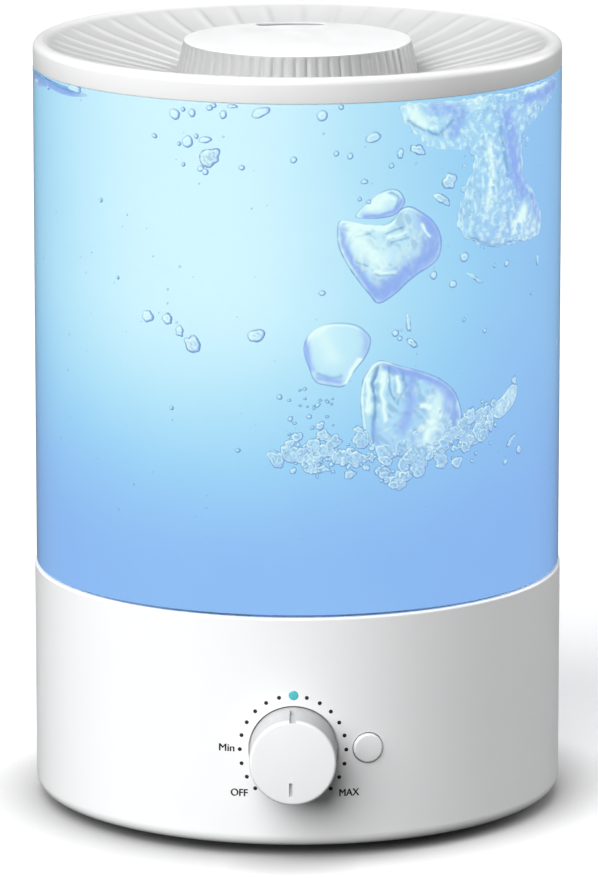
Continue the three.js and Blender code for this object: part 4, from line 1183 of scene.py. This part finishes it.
# Painted shadow close to the base: there the floor's colour goes towards FLOOR_SHADE and its glow
# fades, by ambient occlusion; in the open the colour is FLOOR_OPEN.
FLOOR_SHADE = (0.3, 0.3, 0.3)  # the floor close to the base, and in the open
FLOOR_OPEN = (0.66, 0.66, 0.665)
FLOOR_GLOW = 0.33
PAINTED_SHADOW_REACH = 0.03
CAMERA_LENS = 272.4
CAMERA_BACK = 2.3138
CAMERA_HEIGHT = 0.6237
CAMERA_ASIDE = 0.00055
CAMERA_TURN = math.radians(0.8)
CAMERA_DIP = 12.09


def make_floor():
    bm = bmesh.new()
    bmesh.ops.create_grid(bm, x_segments=8, y_segments=8, size=6)
    floor = make_object("floor", bm)
    s = Shader("floor")
    sheet = s.mix(s.noise(3), (0.08, 0.08, 0.081), (0.1, 0.1, 0.101))
    felt = s.node("BsdfDiffuse", {"Color": sheet})
    # Painted shadow: ambient occlusion darkens the floor's colour and weakens its glow close to the
    # base.
    painted_contact_shadow = s.node("AmbientOcclusion", {"Distance": PAINTED_SHADOW_REACH}, samples=8).outputs[1]
    lit = s.node("BsdfDiffuse", {"Color": s.mix(painted_contact_shadow, FLOOR_SHADE, FLOOR_OPEN)})
    strength = s.math("MULTIPLY", s.math("POWER", painted_contact_shadow, 2), FLOOR_GLOW)
    glow = s.node("Emission", {"Color": (1, 1, 1, 1), "Strength": strength})
    seen = s.node("AddShader", {0: lit.outputs[0], 1: glow.outputs[0]})
    camera_ray = s.node("LightPath").outputs["Is Camera Ray"]
    both = s.node("MixShader", {0: camera_ray, 1: felt.outputs[0], 2: seen.outputs[0]})
    s.output(both.outputs[0])
    floor.data.materials.append(s.material)


def make_sun(name, turn, elevation, strength, width, spared=()):
    """A soft distant light; the spared pieces aren't lit by it."""
    lamp = bpy.data.lights.new(name, "SUN")
    lamp.energy = strength
    lamp.angle = math.radians(width)
    holder = bpy.data.objects.new(name, lamp)
    bpy.context.scene.collection.objects.link(holder)
    rise = math.radians(elevation)
    towards = polar(math.cos(rise), math.radians(turn), math.sin(rise))
    holder.rotation_euler = (-towards).to_track_quat("-Z", "Y").to_euler()
    if spared:
        group = bpy.data.collections.new(name + "_spared")
        for k, made in enumerate(spared):
            group.objects.link(made)
            group.collection_objects[k].light_linking.link_state = "EXCLUDE"
        holder.light_linking.receiver_collection = group


def make_world(strength):
    world = bpy.data.worlds.new("studio")
    world.use_nodes = True
    background = world.node_tree.nodes["Background"]
    background.inputs["Color"].default_value = (1, 1, 1, 1)
    background.inputs["Strength"].default_value = strength
    bpy.context.scene.world = world


def make_camera():
    """The camera stands a little to the right of the front, tilted down at the tank."""
    data = bpy.data.cameras.new("camera")
    data.lens = CAMERA_LENS
    data.clip_end = 20
    camera = bpy.data.objects.new("camera", data)
    bpy.context.scene.collection.objects.link(camera)
    stand = polar(CAMERA_BACK, CAMERA_TURN, CAMERA_HEIGHT)
    camera.location = AXIS + stand + Vector((CAMERA_ASIDE, 0, 0))
    camera.rotation_euler = (math.radians(90 - CAMERA_DIP), 0, CAMERA_TURN)
    bpy.context.scene.camera = camera


make_base()
make_dial()
knob = make_knob()
make_button()
make_lamp()
make_tank()
make_bubbles()
make_lid()
make_cap()
finish_cad_nodes()
make_floor()
make_sun("key", -30, 38, 4.2, 58)
make_sun("right_fill", 120, 20, 2.2, 40, [knob])
make_sun("left_fill", -100, 20, 0.55, 60)
make_sun("top", 180, 70, 0.5, 50)
make_world(0.05)
make_camera()
bpy.context.scene.view_settings.view_transform = "Standard"
